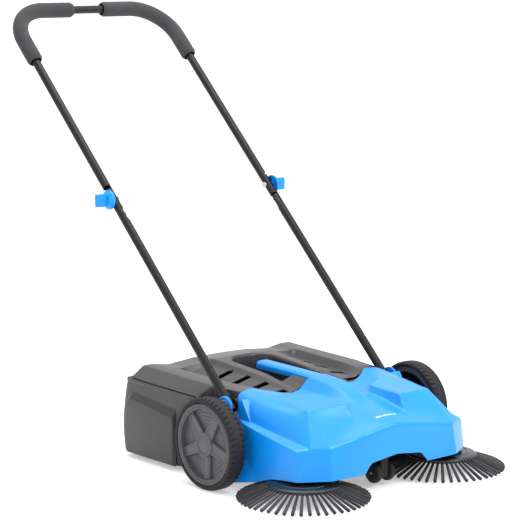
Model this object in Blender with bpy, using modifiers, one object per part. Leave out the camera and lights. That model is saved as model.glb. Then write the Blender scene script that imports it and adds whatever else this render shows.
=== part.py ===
"""Walk behind sweeper: a push sweeper with two side brushes, a main brush and a rear hopper.

Metres, +Z up.  The machine's front faces -Y and its left side is at -X.  Everything is placed in
the machine's own frame, whose origin lies on the floor under the wheel axles, and the empty
"machine" carries that frame to the middle of the whole object's box.
"""
import math

import bmesh
import bpy
from mathutils import Matrix, Vector

# ---------------------------------------------------------------- driving dimensions
SWEEP_WIDTH = 0.700          # tip to tip over both side brushes
GAP = 0.0004                 # clearance kept between touching pieces
TURN_STEPS = 40              # sides of a round piece

WHEEL_RADIUS = 0.101
WHEEL_OUTER_X = 0.3234       # outer face of a wheel
TYRE_WIDTH = 0.039
TYRE_WALL = 0.0117           # from the rim seat out to the tread
HUB_CAP_RADIUS = 0.025
SPOKES = 5

BRUSH_RADIUS = 0.145         # side brush, over the tips
BRUSH_Y = -0.194
BRUSH_PLATE_RADIUS = 0.079
BRUSH_X = SWEEP_WIDTH / 2 - BRUSH_RADIUS

MAIN_BRUSH_RADIUS = 0.0555
MAIN_BRUSH_Y = 0.020
MAIN_BRUSH_Z = MAIN_BRUSH_RADIUS + 0.002
MAIN_BRUSH_HALF = 0.176

TUBE_RADIUS = 0.010
TUBE_WALL = 0.0015
HANDLE_X = 0.2335            # middle of each handle tube
HANDLE_LEAN = math.radians(44.3)
PIVOT_Y = 0.017
PIVOT_Z = 0.171
HINGE_REACH = 0.5905         # along the tube, from the pivot to the fold hinge
TOP_REACH = 1.194            # along the tube, from the pivot to the top bar
BEND_RADIUS = 0.100
GRIP_RADIUS = 0.0188
GRIP_START = 1.0245          # along the tube, from the pivot to the grip's lower end
GRIP_INNER_X = 0.0452        # the grip's end on the top bar
LAP = 0.0355                 # the fold hinge's half laps reach this far from its bolt
SLANT_INNER = 0.0785         # the lower tube's inner half ends this far below the bolt,
SLANT_MIDDLE = 0.0555        # in a slanted cut that reaches the tube's middle here
WING_REACH = 0.2837          # outer end of the clamp knob's wings

NOTCH_RADIUS = 0.0154        # clearance cut in the lid round the pivot's boss

SHELL = 0.0030               # wall of the blue cover
TUB_WALL = 0.0028
DECK_X = 0.184               # inner face of each chassis side plate
PLATE = 0.005
SHAFT_X = BRUSH_X            # the drive shafts run straight back from the side brushes

# the joint between the cover and the lid in plan, and the one between the lid and the tub
COVER_SEAM = ((0.000, -0.005), (0.025, -0.007), (0.055, -0.006), (0.095, -0.022),
              (0.140, 0.000), (0.170, 0.024), (0.205, 0.014), (0.2205, 0.010), (0.300, 0.010))
LID_SEAM = ((0.450, 0.1883), (0.100, 0.1800), (0.0925, 0.1700), (-0.060, 0.1700))
SEAM_GAP = 0.0006
WELL_TOP = ((0.040, 0.1942), (0.055, 0.1967), (0.088, 0.2037), (0.098, 0.2051),
            (0.120, 0.2071), (0.252, 0.2174), (0.260, 0.2174))      # (y, z) under the lid's skin
WELL_SILL = ((-0.0595, 0.170), (0.0595, 0.170), (0.0595, 0.1945), (0.0550, 0.1955),
             (0.0300, 0.2058), (-0.0300, 0.2058), (-0.0550, 0.1955), (-0.0595, 0.1945))

COVER_BLUE = (0.035, 0.300, 0.800, 1.0)
GREY = (0.105, 0.100, 0.108, 1.0)
DARK = (0.045, 0.044, 0.047, 1.0)
BLACK = (0.020, 0.020, 0.022, 1.0)
STEEL = (0.560, 0.570, 0.580, 1.0)

FRONT_Y = BRUSH_Y - BRUSH_RADIUS
REAR_Y = PIVOT_Y + TOP_REACH * math.cos(HANDLE_LEAN) + GRIP_RADIUS
MACHINE_Y = -(FRONT_Y + REAR_Y) / 2
SIDES = (("left", -1), ("right", 1))


# ---------------------------------------------------------------- scene and small helpers
def clear_scene():
    for item in list(bpy.data.objects):
        bpy.data.objects.remove(item, do_unlink=True)


def make_collection(name):
    group = bpy.data.collections.new(name)
    bpy.context.scene.collection.children.link(group)
    return group


def make_material(name, colour, roughness, metallic=0.0):
    material = bpy.data.materials.new(name)
    material.use_nodes = True
    shader = material.node_tree.nodes["Principled BSDF"]
    shader.inputs["Base Color"].default_value = colour
    shader.inputs["Roughness"].default_value = roughness
    shader.inputs["Metallic"].default_value = metallic
    material.diffuse_color = colour
    return material


def empty_at(name, location, parent):
    marker = bpy.data.objects.new(name, None)
    marker.empty_display_size = 0.03
    marker.location = location
    marker.parent = parent
    sweeper.objects.link(marker)
    return marker


def add_object(name, mesh, material, parent, location=(0, 0, 0), rotation=(0, 0, 0)):
    """A finished piece of the sweeper."""
    item = bpy.data.objects.new(name, mesh)
    item.data.materials.append(material)
    item.location = location
    item.rotation_euler = rotation
    item.parent = parent
    sweeper.objects.link(item)
    return item


def add_cutter(name, mesh, parent, location=(0, 0, 0), rotation=(0, 0, 0)):
    """A tool body that only cuts or joins."""
    item = bpy.data.objects.new(name, mesh)
    item.location = location
    item.rotation_euler = rotation
    item.parent = parent
    item.hide_render = True
    item.display_type = "WIRE"
    cutters.objects.link(item)
    return item


def mesh_from(bm, name):
    mesh = bpy.data.meshes.new(name)
    bmesh.ops.recalc_face_normals(bm, faces=bm.faces)
    bm.to_mesh(mesh)
    bm.free()
    return mesh


def box_mesh(name, size, centre=(0, 0, 0), bevel=0.0):
    bm = bmesh.new()
    bmesh.ops.create_cube(bm, size=1.0)
    bmesh.ops.scale(bm, vec=size, verts=bm.verts)
    if bevel:
        bmesh.ops.bevel(bm, geom=bm.edges, offset=bevel, segments=1, affect="EDGES")
    bmesh.ops.translate(bm, vec=centre, verts=bm.verts)
    return mesh_from(bm, name)


def rod_mesh(name, radius, length, axis="X", centre=(0, 0, 0), end_radius=None, steps=24):
    """A cylinder or cone along one axis; end_radius is the radius at the positive end."""
    turn = {"X": Matrix.Rotation(math.pi / 2, 4, "Y"),
            "Y": Matrix.Rotation(-math.pi / 2, 4, "X"),
            "Z": Matrix.Identity(4)}[axis]
    bm = bmesh.new()
    far = radius if end_radius is None else end_radius
    bmesh.ops.create_cone(bm, cap_ends=True, segments=steps, radius1=radius, radius2=far,
                          depth=length, matrix=Matrix.Translation(centre) @ turn)
    return mesh_from(bm, name)


def outline_mesh(name, points, low, high, axis):
    """A flat outline pushed from low to high along one axis."""
    place = {"X": lambda a, b, c: (c, a, b),
             "Y": lambda a, b, c: (a, c, b),
             "Z": lambda a, b, c: (a, b, c)}[axis]
    bm = bmesh.new()
    base = [bm.verts.new(place(a, b, low)) for a, b in points]
    bm.faces.new(base)
    made = bmesh.ops.extrude_face_region(bm, geom=bm.faces[:])
    moved = [item for item in made["geom"] if isinstance(item, bmesh.types.BMVert)]
    bmesh.ops.translate(bm, vec=place(0, 0, high - low), verts=moved)
    return mesh_from(bm, name)


def two_outlines(name, first, second):
    """A solid between two outlines of the same number of points."""
    bm = bmesh.new()
    loops = [[bm.verts.new(point) for point in line] for line in (first, second)]
    for index in range(len(first)):
        after = (index + 1) % len(first)
        bm.faces.new((loops[0][index], loops[0][after], loops[1][after], loops[1][index]))
    bm.faces.new(loops[0])
    bm.faces.new(loops[1])
    return mesh_from(bm, name)


def arc(centre, radius, start, end, steps):
    """Points on an arc, angles in degrees."""
    points = []
    for index in range(steps + 1):
        angle = math.radians(start + (end - start) * index / steps)
        points.append((centre[0] + radius * math.cos(angle), centre[1] + radius * math.sin(angle)))
    return points


def turned(name, profile, material, parent, location=(0, 0, 0), axis_turn=(0, 0, 0),
           steps=TURN_STEPS):
    """A closed ring or solid: the profile is (radius, height) round the local Z axis."""
    bm = bmesh.new()
    turn_sense = sum(a[0] * b[1] - b[0] * a[1] for a, b in zip(profile, profile[1:] + profile[:1]))
    ordered = profile[::-1] if turn_sense > 0 else profile
    ring = [bm.verts.new((radius, 0, height)) for radius, height in ordered]
    on_axis = ordered[0][0] == 0 and ordered[-1][0] == 0
    for first, second in zip(ring, ring[1:] + ([] if on_axis else ring[:1])):
        bm.edges.new((first, second))
    mesh = bpy.data.meshes.new(name)
    bm.to_mesh(mesh)
    bm.free()
    item = add_object(name, mesh, material, parent, location, axis_turn)
    screw = item.modifiers.new("turn", "SCREW")
    screw.steps = steps
    screw.render_steps = steps
    screw.use_merge_vertices = True
    screw.merge_threshold = 0.00001
    return item


def boolean(item, cutter, operation):
    step = item.modifiers.new(operation.lower(), "BOOLEAN")
    step.operation = operation
    step.solver = "EXACT"
    step.object = cutter


def tube_mesh(name, points, radius, resolution=2):
    """A round bar along a polyline, as a closed mesh."""
    curve = bpy.data.curves.new(name + "_path", "CURVE")
    curve.dimensions = "3D"
    curve.bevel_depth = radius
    curve.bevel_resolution = resolution
    curve.use_fill_caps = True
    spline = curve.splines.new("POLY")
    spline.points.add(len(points) - 1)
    for knot, point in zip(spline.points, points):
        knot.co = (*point, 1.0)
    path = bpy.data.objects.new(name + "_path", curve)
    cutters.objects.link(path)
    bpy.context.view_layer.update()
    graph = bpy.context.evaluated_depsgraph_get()
    mesh = bpy.data.meshes.new_from_object(path.evaluated_get(graph))
    bpy.data.objects.remove(path, do_unlink=True)
    bm = bmesh.new()
    bm.from_mesh(mesh)
    bmesh.ops.remove_doubles(bm, verts=bm.verts, dist=0.00001)
    bmesh.ops.recalc_face_normals(bm, faces=bm.faces)
    bm.to_mesh(mesh)
    bm.free()
    return mesh


def rail_sheet(name, rails):
    """An open sheet of quads between neighbouring rails; equal points are merged."""
    bm = bmesh.new()
    grid = [[bm.verts.new(point) for point in rail] for rail in rails]
    for first, second in zip(grid, grid[1:]):
        for index in range(len(first) - 1):
            bm.faces.new((first[index], first[index + 1], second[index + 1], second[index]))
    bmesh.ops.remove_doubles(bm, verts=bm.verts, dist=0.00005)
    bmesh.ops.dissolve_degenerate(bm, edges=bm.edges, dist=0.00005)
    bmesh.ops.triangulate(bm, faces=bm.faces)
    return bm


def shell_object(name, bm, material, parent, thickness):
    """A half sheet mirrored over x = 0 and given a wall on its inner side."""
    bmesh.ops.recalc_face_normals(bm, faces=bm.faces)
    mesh = bpy.data.meshes.new(name)
    bm.to_mesh(mesh)
    bm.free()
    item = add_object(name, mesh, material, parent)
    mirror = item.modifiers.new("mirror", "MIRROR")
    mirror.use_clip = True
    mirror.merge_threshold = 0.00005
    wall = item.modifiers.new("wall", "SOLIDIFY")
    wall.thickness = thickness
    wall.offset = -1.0
    wall.use_even_offset = True
    wall.thickness_clamp = 1.0
    return item


# ---------------------------------------------------------------- cover
def cover_rails():
    """Long lines of the cover from the hopper seam to the front's lower edge, on the +X half."""
    front_low = 0.050
    band_corner = (0.1818, -0.2511, 0.1172)
    band_corner_low = (0.1846, -0.2623, front_low)
    body_corner = (0.2181, -0.2307, 0.1177)
    body_corner_low = (0.2205, -0.2410, front_low)
    fender_corner = (0.2459, -0.2155, 0.1139)
    fender_corner_low = (0.2503, -0.2214, front_low)
    shoulder_corner = Vector((0.1784, -0.1754, 0.1843))

    def on_facet(share):
        """A line down the corner facet, from its edge at the shoulder to its lower edge."""
        top = shoulder_corner.lerp(Vector(body_corner), share)
        foot = Vector(band_corner).lerp(Vector(body_corner), share)
        low = Vector(band_corner_low).lerp(Vector(body_corner_low), share)
        return [top, top.lerp(foot, 0.5), foot, low]

    return [
        # the ridge that runs on into the carry handle, then the middle of the hood
        [(0, 0.002, 0.2128), (0, -0.036, 0.2100), (0, -0.070, 0.2075), (0, -0.105, 0.2000),
         (0, -0.135, 0.1870), (0, -0.156, 0.1705), (0, -0.229, 0.1614), (0, -0.2634, 0.1466),
         (0, -0.2665, front_low)],
        [(0.025, 0.000, 0.2116), (0.025, -0.038, 0.2087), (0.025, -0.070, 0.2062),
         (0.023, -0.105, 0.1988), (0.020, -0.134, 0.1865), (0.015, -0.156, 0.1705),
         (0.020, -0.229, 0.1610), (0.020, -0.2632, 0.1445), (0.020, -0.2664, front_low)],
        [(0.055, 0.001, 0.1861), (0.053, -0.038, 0.1843), (0.050, -0.072, 0.1830),
         (0.046, -0.105, 0.1800), (0.042, -0.135, 0.1750), (0.040, -0.160, 0.1695),
         (0.045, -0.222, 0.1595), (0.050, -0.2625, 0.1405), (0.050, -0.2660, front_low)],
        # floor of the valley beside the ridge
        [(0.095, -0.015, 0.1846), (0.094, -0.045, 0.1840), (0.092, -0.068, 0.1835),
         (0.064, -0.108, 0.1800), (0.066, -0.145, 0.1735), (0.070, -0.205, 0.1560),
         (0.075, -0.230, 0.1480), (0.080, -0.2610, 0.1358), (0.080, -0.2655, front_low)],
        # inner and outer edge of the shoulder
        [(0.140, 0.007, 0.1943), (0.1385, -0.035, 0.1958), (0.137, -0.065, 0.1970),
         (0.0735, -0.096, 0.1943), (0.076, -0.140, 0.1912), (0.0788, -0.1903, 0.1885),
         (0.089, -0.226, 0.1595), (0.098, -0.2600, 0.1332), (0.098, -0.2650, front_low)],
        [(0.170, 0.031, 0.2010), (0.173, -0.020, 0.1975), (0.176, -0.062, 0.1945),
         (0.177, -0.100, 0.1915), (0.178, -0.140, 0.1875), *on_facet(0.0)],
        [(0.205, 0.021, 0.1993), (0.205, -0.025, 0.1940), (0.205, -0.060, 0.1890),
         (0.203, -0.100, 0.1850), (0.198, -0.140, 0.1790), *on_facet(0.15)],
        [(0.2203, 0.017, 0.1900), (0.2220, -0.025, 0.1830), (0.2235, -0.055, 0.1760),
         (0.222, -0.100, 0.1700), (0.2165, -0.140, 0.1630), *on_facet(0.45)],
        # ledge of the fender, and the fender's lower edge
        [(0.2213, 0.022, 0.1500), (0.2320, -0.036, 0.1510), (0.235, -0.056, 0.1475),
         (0.2315, -0.100, 0.1405), (0.2275, -0.140, 0.1335), *on_facet(1.0)],
        [(0.2220, 0.024, 0.1480), (0.2430, -0.033, 0.1490), (0.250, -0.042, 0.1455),
         (0.2495, -0.100, 0.1345), (0.2485, -0.140, 0.1275), fender_corner, fender_corner,
         fender_corner, fender_corner_low],
        # the fender's lower edge, with its rear corner turned out as a splash guard
        [(0.2220, 0.024, 0.1430), (0.2430, -0.036, 0.1440), (0.2720, -0.042, 0.0180),
         (0.2520, -0.104, 0.0280), (0.2515, -0.137, 0.0435), fender_corner_low,
         fender_corner_low, fender_corner_low, fender_corner_low],
    ]


def carry_handle_mesh():
    """The flat bar that reaches back from the ridge over the hopper's hand well."""
    sections = ((-0.022, 0.0235, 0.1975, 0.2065, 0.2108, 0.0170),
                (0.060, 0.0190, 0.1980, 0.2090, 0.2138, 0.0130),
                (0.186, 0.0180, 0.1985, 0.2110, 0.2160, 0.0120))
    bm = bmesh.new()
    loops = []
    for y, half, low, edge, top, top_half in sections:
        ring = ((-half, low), (half, low), (half, edge), (top_half, top), (-top_half, top),
                (-half, edge))
        loops.append([bm.verts.new((x, y, z)) for x, z in ring])
    for first, second in zip(loops, loops[1:]):
        for index in range(len(first)):
            after = (index + 1) % len(first)
            bm.faces.new((first[index], first[after], second[after], second[index]))
    bm.faces.new(loops[0])
    bm.faces.new(loops[-1])
    return mesh_from(bm, "carry_handle_bar")


def build_cover(machine, blue):
    cover = shell_object("front_cover", rail_sheet("front_cover", cover_rails()), blue, machine,
                         SHELL)
    boolean(cover, seam_block("cut_behind_seam", True, machine), "DIFFERENCE")
    boolean(cover, add_cutter("join_carry_handle", carry_handle_mesh(), machine), "UNION")
    guard = [(-0.0560, 0.1450), (-0.0265, 0.1918), (-0.0150, 0.1890), (-0.0130, 0.1495)]
    for side, sign in SIDES:
        low, high = sorted((sign * 0.2140, sign * 0.2362))
        block = outline_mesh("pivot_guard_" + side, guard, low, high, "X")
        boolean(cover, add_cutter("join_pivot_guard_" + side, block, machine), "UNION")
        hole = rod_mesh("boss_hole_" + side, 0.0152, 0.030, "X",
                        (sign * 0.222, PIVOT_Y, PIVOT_Z))
        boolean(cover, add_cutter("cut_boss_" + side, hole, machine), "DIFFERENCE")
    arch = [(-0.0936, 0.040), (-0.0936, 0.047), (-0.073, 0.0715), (0.0, 0.0808),
            (0.073, 0.0715), (0.0936, 0.047), (0.0936, 0.040)]
    opening = outline_mesh("front_arch", arch, -0.300, -0.240, "Y")
    boolean(cover, add_cutter("cut_front_arch", opening, machine), "DIFFERENCE")
    return cover


# ---------------------------------------------------------------- hopper
def lid_rails():
    """Long lines of the lid from its rear edge to the seam at the cover, on the +X half."""
    seam = -0.006
    rear = 0.3536
    low = 0.182
    return [
        # the raised island round the hand well
        [(0, rear, low), (0, 0.344, 0.2100), (0, 0.262, 0.2190), (0, 0.252, 0.2190),
         (0, 0.120, 0.2105), (0, 0.098, 0.2100), (0, 0.088, 0.2095), (0, 0.055, 0.2085),
         (0, -0.005 + seam, 0.2085)],
        [(0.030, rear, low), (0.030, 0.344, 0.2097), (0.030, 0.262, 0.2190),
         (0.030, 0.252, 0.2190), (0.030, 0.120, 0.2105), (0.030, 0.098, 0.2100),
         (0.030, 0.088, 0.2095), (0.030, 0.055, 0.2075), (0.030, -0.0065 + seam, 0.2065)],
        [(0.056, rear, low), (0.055, 0.344, 0.2092), (0.060, 0.262, 0.2188),
         (0.060, 0.252, 0.2188), (0.060, 0.120, 0.2085), (0.060, 0.098, 0.2065),
         (0.060, 0.088, 0.2050), (0.056, 0.055, 0.1980), (0.055, -0.006 + seam, 0.1857)],
        [(0.085, rear, low), (0.080, 0.345, 0.2085), (0.086, 0.262, 0.2185),
         (0.086, 0.252, 0.2180), (0.084, 0.120, 0.2075), (0.084, 0.098, 0.2055),
         (0.083, 0.088, 0.2045), (0.082, 0.055, 0.1995), (0.080, -0.016 + seam, 0.1850)],
        # sunken floor with the slots, lowest at the rail
        [(0.100, rear, low), (0.098, 0.345, 0.2065), (0.100, 0.268, 0.2105),
         (0.100, 0.255, 0.2075), (0.098, 0.120, 0.2005), (0.098, 0.098, 0.1990),
         (0.098, 0.088, 0.1980), (0.097, 0.055, 0.1945), (0.095, -0.022 + seam, 0.1845)],
        [(0.155, rear, low), (0.150, 0.346, 0.2015), (0.158, 0.276, 0.2045),
         (0.160, 0.262, 0.1925), (0.155, 0.120, 0.1885), (0.153, 0.098, 0.1880),
         (0.152, 0.088, 0.1875), (0.148, 0.055, 0.1865), (0.118, -0.011 + seam, 0.1895)],
        # the rail along each side
        [(0.185, rear, low), (0.1935, 0.350, 0.2075), (0.182, 0.276, 0.2062),
         (0.178, 0.262, 0.2058), (0.172, 0.120, 0.2022), (0.171, 0.098, 0.2018),
         (0.170, 0.088, 0.2015), (0.165, 0.055, 0.2008), (0.140, seam, 0.1945)],
        [(0.205, rear, low), (0.207, 0.350, 0.2078), (0.205, 0.276, 0.2062),
         (0.205, 0.262, 0.2059), (0.203, 0.120, 0.2025), (0.202, 0.098, 0.2020),
         (0.201, 0.088, 0.2018), (0.196, 0.055, 0.2012), (0.170, 0.024 + seam, 0.2005)],
        [(0.228, rear, low), (0.2215, 0.3485, 0.2074), (0.2205, 0.276, 0.2050),
         (0.2205, 0.262, 0.2047), (0.2200, 0.120, 0.2013), (0.2190, 0.098, 0.2005),
         (0.2170, 0.088, 0.2000), (0.2145, 0.055, 0.1990), (0.205, 0.014 + seam, 0.1985)],
        # lower edge of the lid's side
        [(0.252, 0.3530, low), (0.268, 0.3380, 0.1826), (0.2705, 0.276, 0.1810),
         (0.2705, 0.262, 0.1808), (0.2705, 0.120, 0.1770), (0.2685, 0.098, 0.1768),
         (0.2213, 0.088, 0.1650), (0.2213, 0.055, 0.1650), (0.2210, 0.010 + seam, 0.1650)],
    ]


def seam_block(name, rearward, parent):
    """Everything behind the cover's seam, or everything in front of it."""
    gap = SEAM_GAP / 2 * (-1 if rearward else 1)
    line = [(x, y + gap) for x, y in COVER_SEAM]
    whole = [(-x, y) for x, y in reversed(line[1:])] + line
    end = 0.200 if rearward else -0.200
    outline = whole + [(0.300, end), (-0.300, end)]
    return add_cutter(name, outline_mesh(name, outline, 0.1600, 0.2600, "Z"), parent)


def rim_block(name, upper, parent):
    """Everything above the seam between lid and tub, or everything below it."""
    gap = SEAM_GAP / 2 * (-1 if upper else 1)
    end = 0.260 if upper else 0.020
    outline = [(y, z + gap) for y, z in LID_SEAM] + [(LID_SEAM[-1][0], end), (LID_SEAM[0][0], end)]
    return add_cutter(name, outline_mesh(name, outline, -0.300, 0.300, "X"), parent)


def well_outline(half, rear, front, corner):
    """Outline of the hand well: straight front, round rear corners."""
    near = arc((half - corner, rear - corner), corner, 0, 90, 5)
    far = arc((-half + corner, rear - corner), corner, 90, 180, 5)
    return [(-half, front), (half, front), *near, *far]


def well_body_mesh(half, rear, front, low, corner):
    """The well's outer body; its top follows the middle of the lid's sheet."""
    rows = [(front, half), (0.055, half), (0.088, half), (0.098, half), (0.120, half),
            (rear - corner, half)]
    rows += [(y, x) for x, y in arc((half - corner, rear - corner), corner, 15, 90, 5)]
    bm = bmesh.new()
    loops = []
    for y, reach in rows:
        top = height_at(WELL_TOP, y)
        loops.append([bm.verts.new(point) for point in ((-reach, y, low), (reach, y, low),
                                                        (reach, y, top), (-reach, y, top))])
    for first, second in zip(loops, loops[1:]):
        for index in range(4):
            after = (index + 1) % 4
            bm.faces.new((first[index], first[after], second[after], second[index]))
    bm.faces.new(loops[0])
    bm.faces.new(loops[-1])
    return mesh_from(bm, "well_body")


def height_at(line, y):
    """Height of a (y, z) line at y."""
    for (y_low, z_low), (y_high, z_high) in zip(line, line[1:]):
        if y <= y_high:
            return z_low + (z_high - z_low) * (y - y_low) / (y_high - y_low)
    return line[-1][1]


def build_lid(hopper, grey):
    lid = shell_object("hopper_lid", rail_sheet("hopper_lid", lid_rails()), grey, hopper,
                       TUB_WALL)
    well_half, well_rear, well_front, well_floor = 0.0575, 0.250, 0.046, 0.160
    channel_half, channel_floor = 0.0257, 0.1895
    wall = TUB_WALL
    boolean(lid, rim_block("cut_below_rim", False, hopper), "DIFFERENCE")
    boolean(lid, seam_block("cut_front_of_seam", False, hopper), "DIFFERENCE")
    outer = well_body_mesh(well_half + wall, well_rear + wall, well_front - wall,
                           well_floor - wall, 0.042)
    sill = outline_mesh("well_sill", WELL_SILL, well_front - wall - 0.0006,
                        well_front + 0.0006, "Y")
    inner = outline_mesh("well_space", well_outline(well_half, well_rear, well_front, 0.040),
                         well_floor, 0.240, "Z")
    tray = box_mesh("tray", (2 * (channel_half + wall), 0.060, 0.018), (0, 0.0276, 0.1915))
    channel = box_mesh("channel", (2 * channel_half, 0.080, 0.040),
                       (0, 0.0200, channel_floor + 0.020))
    boolean(lid, add_cutter("join_well", outer, hopper), "UNION")
    boolean(lid, add_cutter("join_sill", sill, hopper), "UNION")
    boolean(lid, add_cutter("join_tray", tray, hopper), "UNION")
    boolean(lid, add_cutter("cut_well", inner, hopper), "DIFFERENCE")
    boolean(lid, add_cutter("cut_channel", channel, hopper), "DIFFERENCE")
    for side, sign in SIDES:
        notch = [(-0.030, PIVOT_Z - NOTCH_RADIUS), (-0.030, PIVOT_Z + NOTCH_RADIUS),
                 *arc((PIVOT_Y, PIVOT_Z), NOTCH_RADIUS, 90, -90, 10)]
        low, high = sorted((sign * 0.2000, sign * 0.2300))
        boolean(lid, add_cutter("cut_boss_notch_" + side,
                                outline_mesh("boss_notch", notch, low, high, "X"), hopper),
                "DIFFERENCE")
    for number in range(4):
        for side, sign in SIDES:
            y = 0.178 - 0.060 * number
            centre = (sign * (0.122 - 0.003 * number), y, 0.198)
            slot = box_mesh("slot", (0.048, 0.018, 0.040), centre)
            boolean(lid, add_cutter(f"cut_slot_{side}_{number}", slot, hopper), "DIFFERENCE")
    return lid


def tub_rails():
    """Level lines of the tub, floor to rim; each runs from the rear middle round to the front."""
    floor = 0.008
    front_y = 0.083
    front_top = 0.085

    def level(wide, rear, height, step_y, share):
        lip = floor + (front_top - floor) * share
        return [(0, rear, height), (wide - 0.030, rear, height), (wide, rear - 0.012, height),
                (wide, step_y, height), (0.2200, step_y - 0.006, height),
                (0.2200, front_y + 0.012, height), (0.2190, front_y, height),
                (0.205, front_y, lip), (0, front_y, lip)]

    def band(wide, rear, rear_z, front_z, inner_z):
        return [(0, rear, rear_z), (wide - 0.030, rear, rear_z), (wide, rear - 0.011, rear_z),
                (wide, 0.102, front_z), (0.2200, 0.0960, inner_z + 0.0003),
                (0.2200, 0.0950, inner_z), (0.2190, front_y, inner_z),
                (0.205, front_y, front_top), (0, front_y, front_top)]

    base = level(0.2650, 0.3620, floor, 0.166, 0)
    middle = [(0, y, floor) for x, y, z in base]
    return [middle, base, level(0.2660, 0.3685, 0.076, 0.166, 0.80),
            level(0.2650, 0.3605, 0.152, 0.150, 0.95),
            band(0.2640, 0.3575, 0.1765, 0.1705, 0.1600),
            band(0.2722, 0.3590, 0.1800, 0.1740, 0.1640),
            band(0.2722, 0.3590, 0.1838, 0.1778, 0.1670),
            band(0.2672, 0.3560, 0.1910, 0.1850, 0.1750)]


def panel_outline(rear, top, front, low, corner):
    """Side view of the raised panel: bowed rear edge, rounded upper rear corner."""
    return [(front, low), (rear - 0.008, low), (rear, 0.076),
            *arc((rear - 0.005 - corner, top - corner), corner, 0, 90, 5), (front, top)]


def build_tub(hopper, grey):
    tub = shell_object("hopper_tub", rail_sheet("hopper_tub", tub_rails()), grey, hopper,
                       TUB_WALL)
    boolean(tub, rim_block("cut_above_rim", True, hopper), "DIFFERENCE")
    for side, sign in SIDES:
        skid = box_mesh("skid_" + side, (0.012, 0.050, 0.0095), (sign * 0.120, 0.300, 0.00475))
        boolean(tub, add_cutter("join_skid_" + side, skid, hopper), "UNION")
        base = panel_outline(0.3520, 0.1600, 0.1690, 0.0092, 0.026)
        face = panel_outline(0.3420, 0.1420, 0.1740, 0.0120, 0.018)
        panel = two_outlines("panel_" + side, [(sign * 0.2642, y, z) for y, z in base],
                             [(sign * 0.2735, y, z) for y, z in face])
        boolean(tub, add_cutter("join_panel_" + side, panel, hopper), "UNION")
    return tub


def build_hopper(hopper, grey, black, rubber):
    build_lid(hopper, grey)
    build_tub(hopper, grey)
    lip = box_mesh("mouth_lip", (0.400, 0.0022, 0.034), (0, 0.0815, 0.0205))
    add_object("mouth_lip", lip, rubber, hopper)
    catch = box_mesh("hopper_catch", (0.030, 0.022, 0.006), (0, 0.2150, 0.1640), 0.001)
    add_object("hopper_catch", catch, black, hopper)


# ---------------------------------------------------------------- chassis
def join_boxes(name, target, parts, parent):
    """Joins a list of (size, centre) boxes to the target."""
    for number, (size, centre) in enumerate(parts):
        piece = box_mesh(name, size, centre)
        boolean(target, add_cutter(f"join_{name}_{number}", piece, parent), "UNION")


def build_chassis(machine, dark):
    deck_half = 0.100
    pan_z = 0.054
    deck_z = 0.094
    first = box_mesh("chassis_frame", (2 * deck_half, 0.128, 0.004), (0, -0.182, deck_z))
    chassis = add_object("chassis_frame", first, dark, machine)
    boxes = [((2 * DECK_X + 0.002, 0.006, 0.050), (0, -0.1155, 0.079))]
    for side, sign in SIDES:
        plate_x = sign * (DECK_X + PLATE / 2)
        boxes += [((PLATE, 0.184, 0.112), (plate_x, -0.0225, 0.090)),
                  ((PLATE, 0.040, 0.050), (plate_x, PIVOT_Y, 0.165)),
                  ((0.004, 0.126, 0.042), (sign * deck_half, -0.182, 0.073)),
                  ((0.085, 0.124, 0.004), (sign * 0.1405, -0.180, pan_z)),
                  ((0.050, 0.086, 0.0042), (sign * 0.2050, -0.164, pan_z)),
                  ((0.034, 0.008, 0.036), (sign * 0.2030, -0.052, 0.100)),
                  ((0.034, 0.008, 0.060), (sign * 0.2030, -0.152, 0.084))]
    join_boxes("frame", chassis, boxes, machine)
    for side, sign in SIDES:
        boss = rod_mesh("pivot_boss_" + side, 0.014, 0.0361, "X",
                        (sign * (0.187 + 0.01805), PIVOT_Y, PIVOT_Z))
        boolean(chassis, add_cutter("join_pivot_boss_" + side, boss, machine), "UNION")
        cups = [("pivot_bolt", 0.0044, 0.060, "X", (sign * 0.210, PIVOT_Y, PIVOT_Z)),
                ("axle", 0.0054, 0.030, "X", (sign * 0.1865, 0, WHEEL_RADIUS)),
                ("spindle", 0.0072, 0.030, "Z", (sign * BRUSH_X, BRUSH_Y, pan_z)),
                ("shaft_rear", 0.0045, 0.020, "Y", (sign * SHAFT_X, -0.052, WHEEL_RADIUS)),
                ("shaft_front", 0.0045, 0.020, "Y", (sign * SHAFT_X, -0.152, WHEEL_RADIUS)),
                ("journal", 0.0060, 0.030, "X", (sign * 0.1865, MAIN_BRUSH_Y, MAIN_BRUSH_Z))]
        for name, radius, length, axis, centre in cups:
            hole = rod_mesh(name, radius, length, axis, centre, steps=20)
            boolean(chassis, add_cutter(f"cut_{name}_{side}", hole, machine), "DIFFERENCE")
    return chassis


def build_brush_hood(machine, black):
    """Curved guard over the main brush."""
    centre = (MAIN_BRUSH_Y, MAIN_BRUSH_Z)
    outline = arc(centre, 0.0625, 62, 198, 10) + arc(centre, 0.0598, 198, 62, 10)
    half = DECK_X - GAP
    add_object("brush_hood", outline_mesh("brush_hood", outline, -half, half, "X"), black, machine)


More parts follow.
